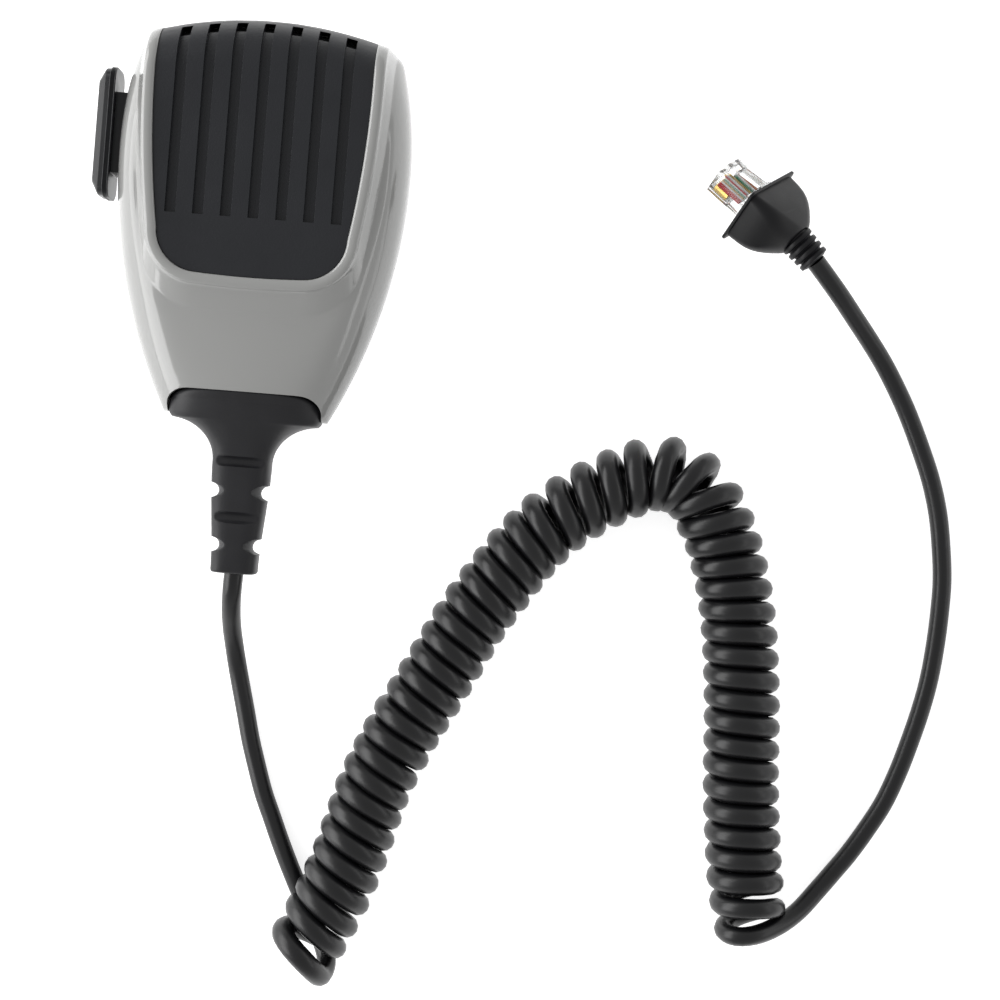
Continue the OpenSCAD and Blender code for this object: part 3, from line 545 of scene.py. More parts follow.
class Palette:
    """Every finish of the microphone, made once."""

    SLEEVES = {"red": (0.52, 0.012, 0.02), "gold": (0.42, 0.26, 0.03), "green": (0.02, 0.20, 0.10),
               "white": (0.75, 0.75, 0.74), "orange": (0.62, 0.16, 0.02)}

    def __init__(self) -> None:
        """Build all the materials."""
        grained, drawn = {"texture": Texture.GRAINED}, {"metallic": 1.0, "texture": Texture.BRUSHED}
        finishes: list[Surface] = [
            Finish("housing_grey", (0.315, 0.316, 0.309), 0.15, coat=0.6, grain=900, depth=0.004, mottle=0.02,
                   patch=25),
            Finish("grille_black", (0.013, 0.014, 0.017), 0.40, grain=1800, depth=0.05, mottle=0.15,
                   specular=0.38, **grained),
            Finish("speaker_cloth", (0.006, 0.006, 0.007), 0.9, texture=Texture.WOVEN, grain=900, depth=0.1),
            Finish("button_black", (0.008, 0.0085, 0.010), 0.3, grain=1400, depth=0.006, specular=0.35),
            Finish("plug_rubber", (0.004, 0.004, 0.005), 0.42, grain=1500, depth=0.02, mottle=0.12, patch=120,
                   specular=0.3, **grained),
            Finish("boot_rubber", (0.013, 0.013, 0.015), 0.48, grain=1700, depth=0.03, mottle=0.15, patch=160,
                   specular=0.36, **grained),
            Finish("cord_black", (0.004, 0.004, 0.0048), 0.34, grain=1200, depth=0.01, mottle=0.15, patch=90),
            Finish("stud_steel", (0.62, 0.62, 0.63), 0.2, grain=5000, depth=0.004, **drawn),
            Finish("screw_steel", (0.36, 0.36, 0.37), 0.34, grain=4000, depth=0.004, **drawn),
            Finish("capsule_can", (0.68, 0.69, 0.70), 0.3, grain=4000, depth=0.003, **drawn),
            Finish("holder_rubber", (0.03, 0.03, 0.032), 0.6, depth=0.02, **grained),
            Finish("board_green", (0.012, 0.10, 0.035), 0.35, coat=0.4, grain=700, depth=0.01, mottle=0.25,
                   patch=300),
            Finish("connector_cream", (0.72, 0.68, 0.55), 0.3, depth=0.006),
            Finish("switch_case", (0.02, 0.022, 0.025), 0.45, depth=0.01, **grained),
            Finish("switch_key", (0.50, 0.03, 0.02), 0.35, depth=0.006),
            Finish("spring_steel", (0.6, 0.61, 0.62), 0.25, metallic=1.0, depth=0.003),
            Finish("clamp_plastic", (0.10, 0.105, 0.11), 0.5, depth=0.02, **grained),
            Finish("contact_gold", (0.88, 0.62, 0.20), 0.2, metallic=1.0, depth=0.002),
            ClearFinish("plug_clear"),
            *[Finish(f"sleeve_{name}", colour, 0.35, depth=0.004) for name, colour in self.SLEEVES.items()],
        ]
        self.made = {finish.name: finish.make() for finish in finishes}

    def dress(self, piece: Piece, finish: str) -> None:
        """Give a piece one finish all over.

        Args:
            piece: the mesh or curve.
            finish: the finish's name.
        """
        if piece.data.materials:
            for slot in piece.material_slots:
                slot.material = self.made[finish]
        else:
            piece.data.materials.append(self.made[finish])


PALETTE = Palette()


def mount(piece: Piece, finish: str, *nodes: str, body: str = "microphone", slot: str = "",
          smooth: float = 0.0) -> Piece:
    """Dress a finished piece, fix it to its CAD body and report it.

    Args:
        piece: the finished mesh or curve.
        finish: its finish, or an empty string where its faces have theirs already.
        nodes: the CAD nodes that it stands for.
        body: the CAD body that it rides on.
        slot: not used.
        smooth: the angle below which its edges are shaded smooth, in degrees.

    Returns:
        The same piece.
    """
    if smooth:
        Bench.smooth(piece, smooth)
    if finish:
        PALETTE.dress(piece, finish)
    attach(piece, body)
    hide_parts(*nodes)
    log.info("%s rides on %s", piece.name, body)
    return piece


# ---------------------------------------------------------------- housing


@dataclass
class HousingForm:
    """Sizes of the two shells in millimetres and their surfaces as heights over the plan."""

    # Points along the side, the lower corner, the lower edge and the top end of an outline, the power by
    # which the side's points crowd towards the top, and where those of the parting line end
    SIDE, CORNER, FLOOR, TOP = 30, 12, 7, 24
    CROWD = 1.7
    SIDE_END = -30

    half_w: float = 37.2
    wide_y: float = 13.5
    upper_r: float = 100
    lower_r: float = 140
    corner_r: float = 4
    crown: float = 4.8
    wall: float = 2.2
    roll_r: float = 12
    edge_angle: float = 26
    dome: float = 1.2
    flank_top: float = 5.6
    flank_low: float = 9
    rear_round: float = 7
    frame_h: float = 2.8
    bead_h: float = 0.9
    bead_w: float = 2.9
    foot_side: float = 2.0
    foot_low: float = 6.6
    crease: float = 0.5
    grille_w: float = 54
    grille_low: float = 17.5
    grille_corner: float = 10.5
    grille_side_r: float = 250
    grille_t: float = 2.2
    fall: float = 0.11
    fall_y: float = -22
    low_round: Plan = (3.5, 7)
    back_low: Plan = (4, 14)
    back_top: Plan = (8, 15)
    mouth_top: float = 14.0
    mouth_w: float = 19.6
    mouth_up: float = 6
    mouth_r: float = 4.2
    part_z: float = field(init=False)
    rear_z: float = field(init=False)
    top_y: float = field(init=False)
    end_y: float = field(init=False)
    arch_r: float = field(init=False)
    arch_y: float = field(init=False)
    low_reach: float = field(init=False)
    face_z: float = field(init=False)
    body_z: float = field(init=False)

    def __post_init__(self) -> None:
        """Take the main planes from the CAD shells and work out the arch of the top end."""
        low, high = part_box("rear_shell")
        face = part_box("front_shell")
        self.rear_z, self.part_z = low.z / MM, face[0].z / MM
        self.top_y, self.low_reach = high.y / MM, -low.y / MM
        self.end_y = self.top_y - self.crown
        self.arch_r = (self.side_x(self.end_y) ** 2 + self.crown ** 2) / (2 * self.crown)
        self.arch_y = self.top_y - self.arch_r
        self.face_z = face[1].z / MM - self.bead_h
        self.body_z = self.face_z - self.frame_h

    @property
    def roll_y(self) -> float:
        """Where the front starts to roll over the top."""
        return self.top_y - self.roll_r

    @property
    def depth(self) -> float:
        """Depth of the front shell."""
        return self.body_z - self.part_z

    def side_x(self, y: float) -> float:
        """Half width at the parting line.

        Args:
            y: place along the housing.

        Returns:
            Half the width.
        """
        radius = self.upper_r if y > self.wide_y else self.lower_r
        corner = sag(self.corner_r, max(0.0, y - self.end_y - 0.5 + self.corner_r))
        return self.half_w - sag(radius, y - self.wide_y) - corner

    def top_edge(self, x: float) -> float:
        """Top end over a place across the housing."""
        return self.arch_y + math.sqrt(self.arch_r ** 2 - x * x)

    def rolled(self, x: float, y: float) -> float:
        """Drop of the front where it rolls over the arched top end."""
        reach = min(self.top_y, math.hypot(x, y - self.arch_y) + self.arch_y)
        return sag(self.roll_r, min(self.roll_r, max(0.0, reach - self.roll_y)))

    def flank(self, y: float) -> float:
        """Width of the slanting flank.

        Args:
            y: place along the housing.

        Returns:
            The width.
        """
        high_y, low_y = self.wide_y - 6, 18 - self.low_reach
        t = (high_y - y) / (high_y - low_y)
        return self.flank_top + (self.flank_low - self.flank_top) * ease(t)

    def front_z(self, y: float) -> float:
        """Height along the middle of the front.

        Args:
            y: place along the housing.

        Returns:
            The height.
        """
        rise, length = self.low_round
        drop = self.fall * max(0.0, self.fall_y - y)
        return self.body_z - drop - bow(rise, -y - self.low_reach + length, length)

    def back_z(self, y: float) -> float:
        """Height along the middle of the back.

        Args:
            y: place along the housing.

        Returns:
            The height.
        """
        (top, top_l), (low, low_l) = self.back_top, self.back_low
        upper = bow(top, y - self.top_y + top_l, top_l)
        return self.rear_z + upper + bow(low, -y - self.low_reach + low_l, low_l)

    def front_over(self, x: float, y: float) -> float:
        """Height of the front over a place, without the frame around the grille.

        Args:
            x: place across the housing.
            y: place along it.

        Returns:
            The height.
        """
        half = self.side_x(min(y, self.end_y))
        shoulder = half - self.flank(y)
        start = math.sin(math.radians(self.edge_angle))
        crest = self.front_z(y)
        top = crest - self.dome * (x / shoulder) ** 2
        u = max(0.0, min(1.0, start + (abs(x) - shoulder) / (half - shoulder) * (1 - start)))
        rise = (crest - self.dome - self.part_z) / math.cos(math.radians(self.edge_angle))
        side = self.part_z + rise * math.sqrt(1 - u * u)
        z = soft_min(top, side, 0.7) if abs(x) > shoulder * 0.6 else top
        return self.part_z + max(0.0, z - self.part_z) * (1 - self.rolled(x, y) / self.depth)

    def back_over(self, x: float, y: float) -> float:
        """Height of the back over a place.

        Args:
            x: place across the housing.
            y: place along it.

        Returns:
            The height.
        """
        half = self.side_x(min(y, self.end_y))
        run = min(1.0, max(0.0, (abs(x) - half + self.rear_round) / self.rear_round))
        return self.part_z - (self.part_z - self.back_z(y)) * math.sqrt(1 - run * run)

    def grille_x(self, y: float) -> float:
        """Half width of the grille."""
        return self.grille_w / 2 - sag(self.grille_side_r, min(0.0, y - self.roll_y + 2.5))

    def frame_x(self, y: float, side: float) -> float:
        """Half width of the frame's outline grown by side, held inside the rounded corners."""
        room = self.side_x(min(y, self.end_y)) - 0.1 - 0.15 * (self.bead_w + self.foot_side - side)
        return min(self.grille_x(y) + side, room)

    def grille_plan(self, side: float, low: float, over: float = -0.1) -> list[Plan]:
        """Outline of the grille grown sideways and downwards.

        Args:
            side: growth at the sides.
            low: growth at the lower edge.
            over: how far it reaches past the top end.

        Returns:
            Points all round, from the top right corner down.
        """
        r = self.grille_corner + side
        yb = r - self.grille_low - low
        xc = self.grille_x(yb) + side - r
        yt = self.top_edge(self.frame_x(self.end_y, side)) + over
        half: list[Plan] = []
        for k in range(self.SIDE):
            y = yt + (yb - yt) * (k / (self.SIDE - 1)) ** self.CROWD
            half.append((self.frame_x(y, side) if side > 0.1 else self.grille_x(y) + side, y))
        for k in range(1, self.CORNER + 1):
            a = math.pi / 2 * k / self.CORNER
            half.append((xc + r * math.cos(a), yb - r * math.sin(a)))
        for k in range(1, self.FLOOR + 1):
            x = xc * (1 - k / self.FLOOR)
            half.append((x, yb - r - 0.4 * (1 - (x / xc) ** 2)))
        return self.all_round(half, lambda x: self.top_edge(x) + over)

    def all_round(self, half: list[Plan], top: Callable[[float], float]) -> list[Plan]:
        """Mirror the right half of an outline and close it along the top.

        Args:
            half: the right half, from the top corner down to the middle.
            top: the top end over a place across the housing.

        Returns:
            The whole outline.
        """
        left = [(-x, y) for x, y in reversed(half[:-1])]
        corner = half[0][0]
        shares = [-1 + 2 * k / (self.TOP + 1) for k in range(1, self.TOP + 1)]
        return half + left + [(corner * t, top(corner * t)) for t in shares]

    def edge_plan(self, inset: float = 0.0) -> list[Plan]:
        """Outline of the parting line drawn in by a wall, point for point beside the grille's outline.

        Args:
            inset: how far it is drawn in.

        Returns:
            Points all round, from the top right corner down.
        """
        low, top = -self.low_reach + inset, self.end_y - inset
        ys = [top + (self.SIDE_END - top) * (k / (self.SIDE - 1)) ** self.CROWD for k in range(self.SIDE)]
        ys += [ys[-1] + (low - ys[-1]) * (k / self.CORNER) ** 0.85 for k in range(1, self.CORNER + 1)]
        half = [(self.side_x(y) - inset, y) for y in ys]
        foot = half[-1][0]
        half += [(foot * (1 - k / self.FLOOR), low) for k in range(1, self.FLOOR + 1)]
        return self.all_round(half, lambda x: self.top_edge(x) - inset)


class Shells:
    """The two halves of the housing, modelled as rings from the grille's opening out to the parting line."""

    # How far the grille's seat reaches inwards, half the gap of the parting line and the depth of its groove
    LEDGE, GAP, GROOVE = 2.4, 0.02, 0.25

    def __init__(self, form: HousingForm) -> None:
        """Keep the form that both shells share."""
        self.form = form

    def frame_rings(self) -> list[Ring]:
        """Rings of the grille's seat, the bead around it and the valley beside it.

        Returns:
            The rings, from the opening outwards.
        """
        form = self.form
        seat, start = form.face_z - form.grille_t, form.face_z - 0.1
        steps = [(-self.LEDGE, seat), (0.08, seat), (0.1, start)]
        for k in range(1, 9):
            a = math.pi * k / 9
            side = form.bead_w * (0.5 - 0.5 * math.cos(a))
            steps.append((max(0.12, side), start + (form.bead_h + 0.1) * math.sin(a) ** 0.8))
        rings = []
        for side, z in steps:
            rings.append([(x, y, z - form.rolled(x, y)) for x, y in form.grille_plan(side, side, 0.0)])
        foot = form.grille_plan(form.bead_w + form.foot_side, form.bead_w + form.foot_low, 0.0)
        ends = [form.front_over(x, y) + form.rolled(x, y) - start for x, y in foot]
        for q in (0.0, 0.1, 0.25, 0.42, 0.58, 0.7, 0.78, 0.85, 0.9, 0.95, 1.0):
            plan = form.grille_plan(form.bead_w + form.foot_side * q, form.bead_w + form.foot_low * q, 0.0)
            ring = []
            for (x, y), end in zip(plan, ends):
                base = form.front_over(x, y)
                rise = max(0.0, start - form.rolled(x, y) + end * q - base)
                fillet = rise * rise / (2 * form.crease) if rise < form.crease else rise - form.crease / 2
                ring.append((x, y, base + fillet if q > 0 else start - form.rolled(x, y)))
            rings.append(ring)
        return rings

    def front(self) -> Piece:
        """Model the front shell.

        Returns:
            The closed mesh of the shell.
        """
        form = self.form
        rings = self.frame_rings()
        inner, edge = [(p[0], p[1]) for p in rings[-1]], form.edge_plan()
        for s in (0.1, 0.2, 0.32, 0.44, 0.55, 0.65, 0.74, 0.82, 0.88, 0.93, 0.965, 0.985, 0.996):
            plan = drawn_to(inner, edge, s)
            rings.append([(x, y, max(form.part_z + 0.5, form.front_over(x, y))) for x, y in plan])
        wall_in, hole = form.edge_plan(form.wall), form.grille_plan(-self.LEDGE, -self.LEDGE)
        groove, lip = form.part_z + self.GROOVE, form.part_z + self.GAP
        rings += [flat(edge, groove), flat(form.edge_plan(self.GROOVE), lip), flat(wall_in, lip)]
        for s in (0.06, 0.2, 0.4, 0.7, 1.0):
            ring = []
            for x, y in drawn_to(wall_in, hole, s):
                top = form.face_z - form.grille_t - 1.6 - form.rolled(x, y)
                ring.append((x, y, max(form.part_z + 0.4, min(form.front_over(x, y) - form.wall, top))))
            rings.append(ring)
        return Bench.loft("front_shell_moulding", rings, ring_closed=True)

    def rear(self) -> Piece:
        """Model the rear shell.

        Returns:
            The closed mesh of the shell.
        """
        form = self.form
        wall_in, edge = form.edge_plan(form.wall), form.edge_plan()
        rings = [self.back_ring(wall_in, s, form.wall) for s in (0.7, 0.4, 0.2, 0.1, 0.04, 0.01)]
        groove, lip = form.part_z - self.GROOVE, form.part_z - self.GAP
        rings += [flat(wall_in, lip), flat(form.edge_plan(self.GROOVE), lip), flat(edge, groove)]
        for s in (0.002, 0.006, 0.014, 0.028, 0.048, 0.075, 0.11, 0.15, 0.2, 0.26, 0.34, 0.45, 0.6, 0.8):
            rings.append(self.back_ring(edge, s))
        return Bench.loft("rear_shell_moulding", rings)

    def back_ring(self, plan: list[Plan], share: float, wall: float = 0.0) -> Ring:
        """An outline shrunk towards the housing's middle and laid on the back or on its inner side.

        Args:
            plan: the outline.
            share: how far it shrinks.
            wall: how far it lies inside the back.

        Returns:
            The ring, kept below the parting line.
        """
        form = self.form
        middle = [(0.0, (form.top_y - form.low_reach) / 2)] * len(plan)
        limit = form.part_z - 0.3
        return [(x, y, min(limit, form.back_over(x, y) + wall)) for x, y in drawn_to(plan, middle, share)]

    def mouth(self) -> Piece:
        """Cutter of the opening for the cable boot.

        Returns:
            The cutter.
        """
        form = self.form
        edge = form.mouth_up - form.low_reach
        plan = [(-form.mouth_w, edge - 18), (-form.mouth_w, edge - form.mouth_r - 0.4)]
        for k in range(9):
            a = math.pi / 2 * k / 8
            x = -form.mouth_top - (form.mouth_w - form.mouth_top) * math.cos(a)
            plan.append((x, edge - form.mouth_r + form.mouth_r * math.sin(a)))
        plan += [(-x, y) for x, y in reversed(plan)]
        return Bench.loft("mouth_cutter", [flat(plan, z) for z in (0.0, 45.0)])

    def window(self) -> Piece:
        """Cutter of the flank's window for the talk bar's stem.

        Returns:
            The cutter.
        """
        low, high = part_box("ptt_button")
        middle_y, middle_z = (low.y + high.y) / 2 / MM, (low.z + high.z) / 2 / MM
        cutter = Bench.box("window_cutter", (-self.form.half_w, middle_y, middle_z), (14, 21.2, 9.3))
        Bench.bevel(cutter, 0.8, 3)
        return cutter

    def bores(self) -> list[Piece]:
        """Cutters of the seats and holes of the housing screws.

        Returns:
            The cutters.
        """
        shapes = (("seat_cutter", 3.1, 6.8), ("shank_cutter", 1.7, 12))
        return [Bench.rod(label, (x, y, self.form.rear_z), radius, length)
                for x, y in Fasteners.spots() for label, radius, length in shapes]

    def build(self) -> None:
        """Model, cut and dress both shells."""
        front, rear = self.front(), self.rear()
        for cutter in self.bores():
            Bench.cut(rear, cutter)
        for shell, node in ((front, "front_shell"), (rear, "rear_shell")):
            Bench.cut(shell, self.mouth())
            Bench.cut(shell, self.window())
            mount(shell, "housing_grey", node, smooth=38)


class Grille:
    """The slatted grille with softened rib edges."""

    rib_round: float = 0.32

    def build(self) -> None:
        """Finish the grille from its solid and dress it."""
        piece = Bench.copy_of("grille", "slatted_grille")
        Bench.bevel(piece, self.rib_round, 3)
        Bench.smooth(piece, 40)
        Bench.modify(piece, "WEIGHTED_NORMAL", keep_sharp=True)
        mount(piece, "grille_black", "grille")


@dataclass
class TalkBar:
    """The talk button: a chamfered bar with a ribbed inner edge, on a stem."""

    length: float = 33.2
    height: float = 13.0
    thickness: float = 4.6
    corner: float = 3.4
    ribs: int = 4

    def pad(self) -> Piece:
        """Model the bar.

        Returns:
            The closed mesh of the bar without its stem.
        """
        low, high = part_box("ptt_button")
        middle = ((low.y + high.y) / 2 / MM, (low.z + high.z) / 2 / MM)
        inner = low.x / MM + self.thickness
        steps = [(0.0, 0.3, 0.3), (0.03, 0.0, 0.0)]
        notch = ((0, 0), (0.008, 0.22), (0.024, 0.22), (0.032, 0))
        for k in range(self.ribs):
            steps += [(0.06 + 0.06 * k + q, inset, inset) for q, inset in notch]
        steps += [(0.31, 0.0, 0.0), (0.33, 0.3, 0.35), (0.36, 0.34, 0.4), (0.57, 0.4, 0.48),
                  (0.62, 0.5, 0.56), (0.7, 1.05, 0.95), (0.92, 3.0, 2.0), (0.98, 3.5, 2.3), (1.0, 4.0, 2.7)]
        rings = [rounded(inner - self.thickness * t, middle, (self.length - 2 * end, self.height - 2 * side),
                         self.corner - side) for t, end, side in steps]
        return Bench.loft("talk_bar_pad", rings)

    def build(self) -> None:
        """Join the bar to its stem and dress it."""
        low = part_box("ptt_button")[0] / MM
        bar = Bench.copy_of("ptt_button", "talk_bar")
        Bench.bevel(bar, 0.3, 2, 40)
        Bench.cut(bar, Bench.box("pad_room", (low.x - 5 + self.thickness - 0.4, 20, 20), (10, 80, 40)))
        Bench.cut(bar, self.pad(), "UNION")
        mount(bar, "button_black", "ptt_button", body="talk_button", smooth=30)


# ---------------------------------------------------------------- boot, stud and screws


@dataclass
class Boot:
    """The rubber cable boot: a wing that fills the housing's mouth, a neck and a notched tail."""

    form: HousingForm
    axis_z: float = 19
    neck_y: float = 63.5
    sweep_y: float = 53.2
    end_y: float = 92
    play: float = 0.1
    sunk: float = 0.15
    tip_round: float = 0.8
    notches: Plan = (71.0, 84.8)
    face_notches: Plan = (63.6, 77.8)
    neck_w: float = 15
    neck_h: float = 13
    tip_w: float = 11.8
    notch: float = 1.85
    face_notch: float = 1.3
    sides: int = 96

    @property
    def start(self) -> float:
        """Where the wing starts, as a distance below the stud."""
        return self.form.low_reach - self.form.mouth_up - self.play

    @property
    def mouth_w(self) -> float:
        """Half width of the wing."""
        return self.form.mouth_w - self.play

    def swept_in(self, d: float) -> float:
        """Share of the sweep from neck to mouth at a distance below the stud."""
        return 1 - math.sqrt(max(0.0, 1 - ((self.neck_y - d) / (self.neck_y - self.sweep_y)) ** 2))

    def half_w(self, d: float) -> float:
        """Half width at a distance below the stud.

        Args:
            d: that distance.

        Returns:
            Half the width.
        """
        top = self.form.mouth_top - self.play
        arc = min(1.0, max(0.0, (d - self.start) / self.form.mouth_r))
        corner = sag(2.2, min(2.2, max(0.0, d - self.form.low_reach + 0.6)))
        mouth = top + (self.mouth_w - top) * math.sqrt(1 - (1 - arc) ** 2) - corner
        if d > self.neck_y:
            run = ease((d - self.neck_y) / (self.end_y - self.neck_y))
            return self.neck_w / 2 - (self.neck_w - self.tip_w) / 2 * run
        return min(mouth, self.neck_w / 2 + (self.mouth_w - self.neck_w / 2) * self.swept_in(d))

    def half_h(self, d: float) -> float:
        """Half height of the neck and tail at a distance below the stud."""
        run = ease((d - self.neck_y) / (self.end_y - self.neck_y))
        return self.neck_h / 2 - (self.neck_h - self.tip_w) / 2 * run

    @staticmethod
    def groove(d: float, centres: Sequence[float], radius: float) -> float:
        """Depth of the round notches at a distance below the stud."""
        return max(math.sqrt(max(0.0, radius ** 2 - (d - c) ** 2)) for c in centres)

    def section(self, d: float) -> Ring:
        """Section of the boot: flush with the housing in its mouth, then drawn in to the notched neck.

        Args:
            d: distance below the stud.

        Returns:
            The ring of the section.
        """
        form, wide, high = self.form, self.half_w(d), self.half_h(d)
        tip = sag(self.tip_round, max(0.0, d - self.end_y + self.tip_round))
        wide, high = wide - tip, high - tip
        side = self.groove(d, self.notches, self.notch)
        face = self.groove(d, self.face_notches, self.face_notch)
        inset = self.sunk + 0.35 * (1 - min(1.0, (d - self.start) / 0.5))
        drawn = ease((d - self.start - 1.5) / (self.neck_y + 0.5 - self.start - 1.5))
        over_y = -min(d, form.low_reach - 3.5)
        ring = []
        for k in range(self.sides):
            a = 2 * math.pi * k / self.sides
            c, s = math.cos(a), math.sin(a)
            x = (wide - inset * (1 - drawn)) * math.copysign(abs(c) ** (0.4 + 0.19 * drawn), c)
            spread = x * max(1.0, self.mouth_w / wide) if d > form.low_reach else x
            front, back = form.front_over(spread, over_y), form.back_over(spread, over_y)
            flush = front - inset if s > 0 else back + inset
            z = (flush - self.axis_z) * abs(s) ** 0.35
            z += (math.copysign(high * abs(s) ** 0.59, s) - z) * drawn
            if face > 0:
                z = max(face - high, min(high - face, z))
            if side > 0:
                limit = wide - side * (1 + 1.1 * (z / high) ** 2)
                x = max(-limit, min(limit, x))
            ring.append((x, -d, self.axis_z + z))
        return ring

    def build(self) -> None:
        """Model the boot from its sections and dress it."""
        rings = [self.section(self.start + q) for q in (0, 0.1, 0.25, 0.4, 0.7, 1.05, 1.5)]
        d = self.start + 1.9
        while d < self.end_y - 0.9:
            rings.append(self.section(d))
            d += 0.3
        rings += [self.section(self.end_y - q) for q in (0.8, 0.6, 0.4, 0.2, 0.08, 0.0)]
        piece = Bench.loft("cable_boot_moulding", rings)
        way = Bench.rod("cord_way_cutter", (0, -self.end_y, self.axis_z), 2.5, 30, Vector((0, 1, 0)))
        Bench.cut(piece, way)
        mount(piece, "boot_rubber", "cable_boot", smooth=50)


class Fasteners:
    """The hang-up stud and the four housing screws."""

    @staticmethod
    def spots() -> list[Plan]:
        """Places of the four housing screws."""
        return [(sx * x, y) for sx in (-1, 1) for x, y in ((26.0, 33.0), (17.5, -34.0))]

    def stud(self) -> None:
        """Turn the stud: a domed head, a neck and a collar."""
        head, neck = 8.0, 4.0
        profile = [(0.01, 0.0), (head - 1.2, 0.0), (head - 0.5, 0.12), (head - 0.12, 0.45), (head, 1.0),
                   (head, 1.9), (head - 0.15, 2.3), (head - 0.5, 2.4), (neck + 0.4, 2.4), (neck + 0.1, 2.5),
                   (neck, 2.8), (neck, 5.2), (neck + 0.1, 5.5), (neck + 0.4, 5.6), (6.2, 5.6), (6.5, 5.8),
                   (6.5, 6.4), (0.01, 6.4)]
        mount(Bench.lathe("hanger_stud_turning", profile, 96), "stud_steel", "hanger_stud", smooth=40)

    def screws(self) -> None:
        """Turn one cross-head screw and set a copy in each seat."""
        profile = [(0.01, 8.0), (2.0, 8.02), (2.6, 8.2), (2.8, 8.5), (2.8, 9.7), (2.7, 9.8), (1.55, 9.8),
                   (1.5, 9.9), (1.5, 26.8), (1.0, 27.3), (0.01, 27.4)]
        model = Bench.lathe("screw_model", profile, 48)
        for size in ((3.4, 0.7, 2.0), (0.7, 3.4, 2.0)):
            slot = Bench.box("slot_cutter", (0, 0, 8.1), size)
            Bench.bevel(slot, 0.12, 1)
            Bench.cut(model, slot)
        copies = []
        for x, y in self.spots():
            Bench.pick(model)
            bpy.ops.object.duplicate()
            piece = bpy.context.active_object
            piece.location = (x * MM, y * MM, 0)
            Bench.settle(piece)
            copies.append(piece)
        bpy.data.objects.remove(model)
        mount(Bench.joined("housing_screw_set", copies), "screw_steel", "housing_screws", smooth=35)

    def build(self) -> None:
        """Make the stud and the screws."""
        self.stud()
        self.screws()


# ---------------------------------------------------------------- cord and plug


class Track:
    """A smooth line through points, in millimetres."""

    def __init__(self, points: Sequence[Place]) -> None:
        """Keep the points."""
        self.points = [Vector(p) for p in points]

    def at(self, t: float) -> Vector:
        """Point at a position counted in points, on a curve through all of them.

        Args:
            t: the position.

        Returns:
            The point.
        """
        last = len(self.points) - 1
        i = min(last - 1, max(0, int(t)))
        f = t - i
        p0, p1 = self.points[max(0, i - 1)], self.points[i]
        p2, p3 = self.points[i + 1], self.points[min(last, i + 2)]
        return 0.5 * (2 * p1 + (p2 - p0) * f + (2 * p0 - 5 * p1 + 4 * p2 - p3) * f * f
                      + (3 * p1 - p0 - 3 * p2 + p3) * f ** 3)

    def spaced(self, step: float) -> list[Vector]:
        """Points about a step apart along the line.

        Args:
            step: the distance.

        Returns:
            The points, with both ends.
        """
        last = len(self.points) - 1
        fine = [self.at(k / 40) for k in range(last * 40 + 1)]
        out, run = [fine[0]], 0.0
        total = sum((b - a).length for a, b in zip(fine, fine[1:]))
        count = max(1, round(total / step))
        for a, b in zip(fine, fine[1:]):
            part = (b - a).length
            while run + part >= total / count * len(out) and len(out) < count:
                out.append(a.lerp(b, (total / count * len(out) - run) / max(part, 1e-9)))
            run += part
        return out + [fine[-1]]


LEAD = [(0, -92, 19), (-0.2, -96, 18.4), (-0.5, -101, 15), (-0.5, -106, 10.5), (0, -111, 6.5),
        (1, -117, 3.6), (2.4, -123, 2.5), (4, -129, 2.5), (5.8, -136, 2.5), (8, -143, 2.5), (10.4, -150, 2.5),
        (13, -156, 2.5), (15.6, -162, 2.5), (18.4, -168, 2.5), (21.4, -174, 2.5), (24.5, -180, 2.5),
        (27.8, -185.6, 2.6), (30.1, -190.2, 4.0)]
COIL = [(21, -195), (24, -189), (27, -182), (30, -175), (33, -166), (36, -156), (39, -146), (43, -136),
        (47, -126), (52, -117), (57, -108), (62.5, -98), (68.5, -89), (75, -80), (82.5, -72), (91, -65.5),
        (99.8, -60.6), (108.5, -58), (116.8, -61.1), (122.2, -68.6), (126, -76.5), (128.9, -86), (131, -97),
        (132.5, -110), (133.5, -123), (134.5, -136), (136, -149), (137.5, -160), (139.5, -170)]
TAIL = [(145.2, -173.8, 11.6), (152.2, -169.6, 7.4), (158, -163.4, 4.4), (162, -158.5, 3.1),
        (165.4, -154, 2.6), (169.4, -147.6, 2.5), (173.6, -139.9, 2.5), (176.8, -131.5, 2.5),
        (179.2, -123.5, 2.5), (181.3, -115.5, 2.5), (183, -107, 2.5), (184, -98, 2.5), (184.5, -89, 2.5),
        (184.5, -80, 2.5), (183.5, -71, 2.5), (182, -62.5, 2.5), (179.5, -54, 2.5), (176, -45.5, 2.5),
        (172, -37, 2.7), (168, -30, 3.4), (164, -24, 4.6), (159.5, -18.5, 6.8), (154.5, -13, 10),
        (149.5, -7.5, 13)]


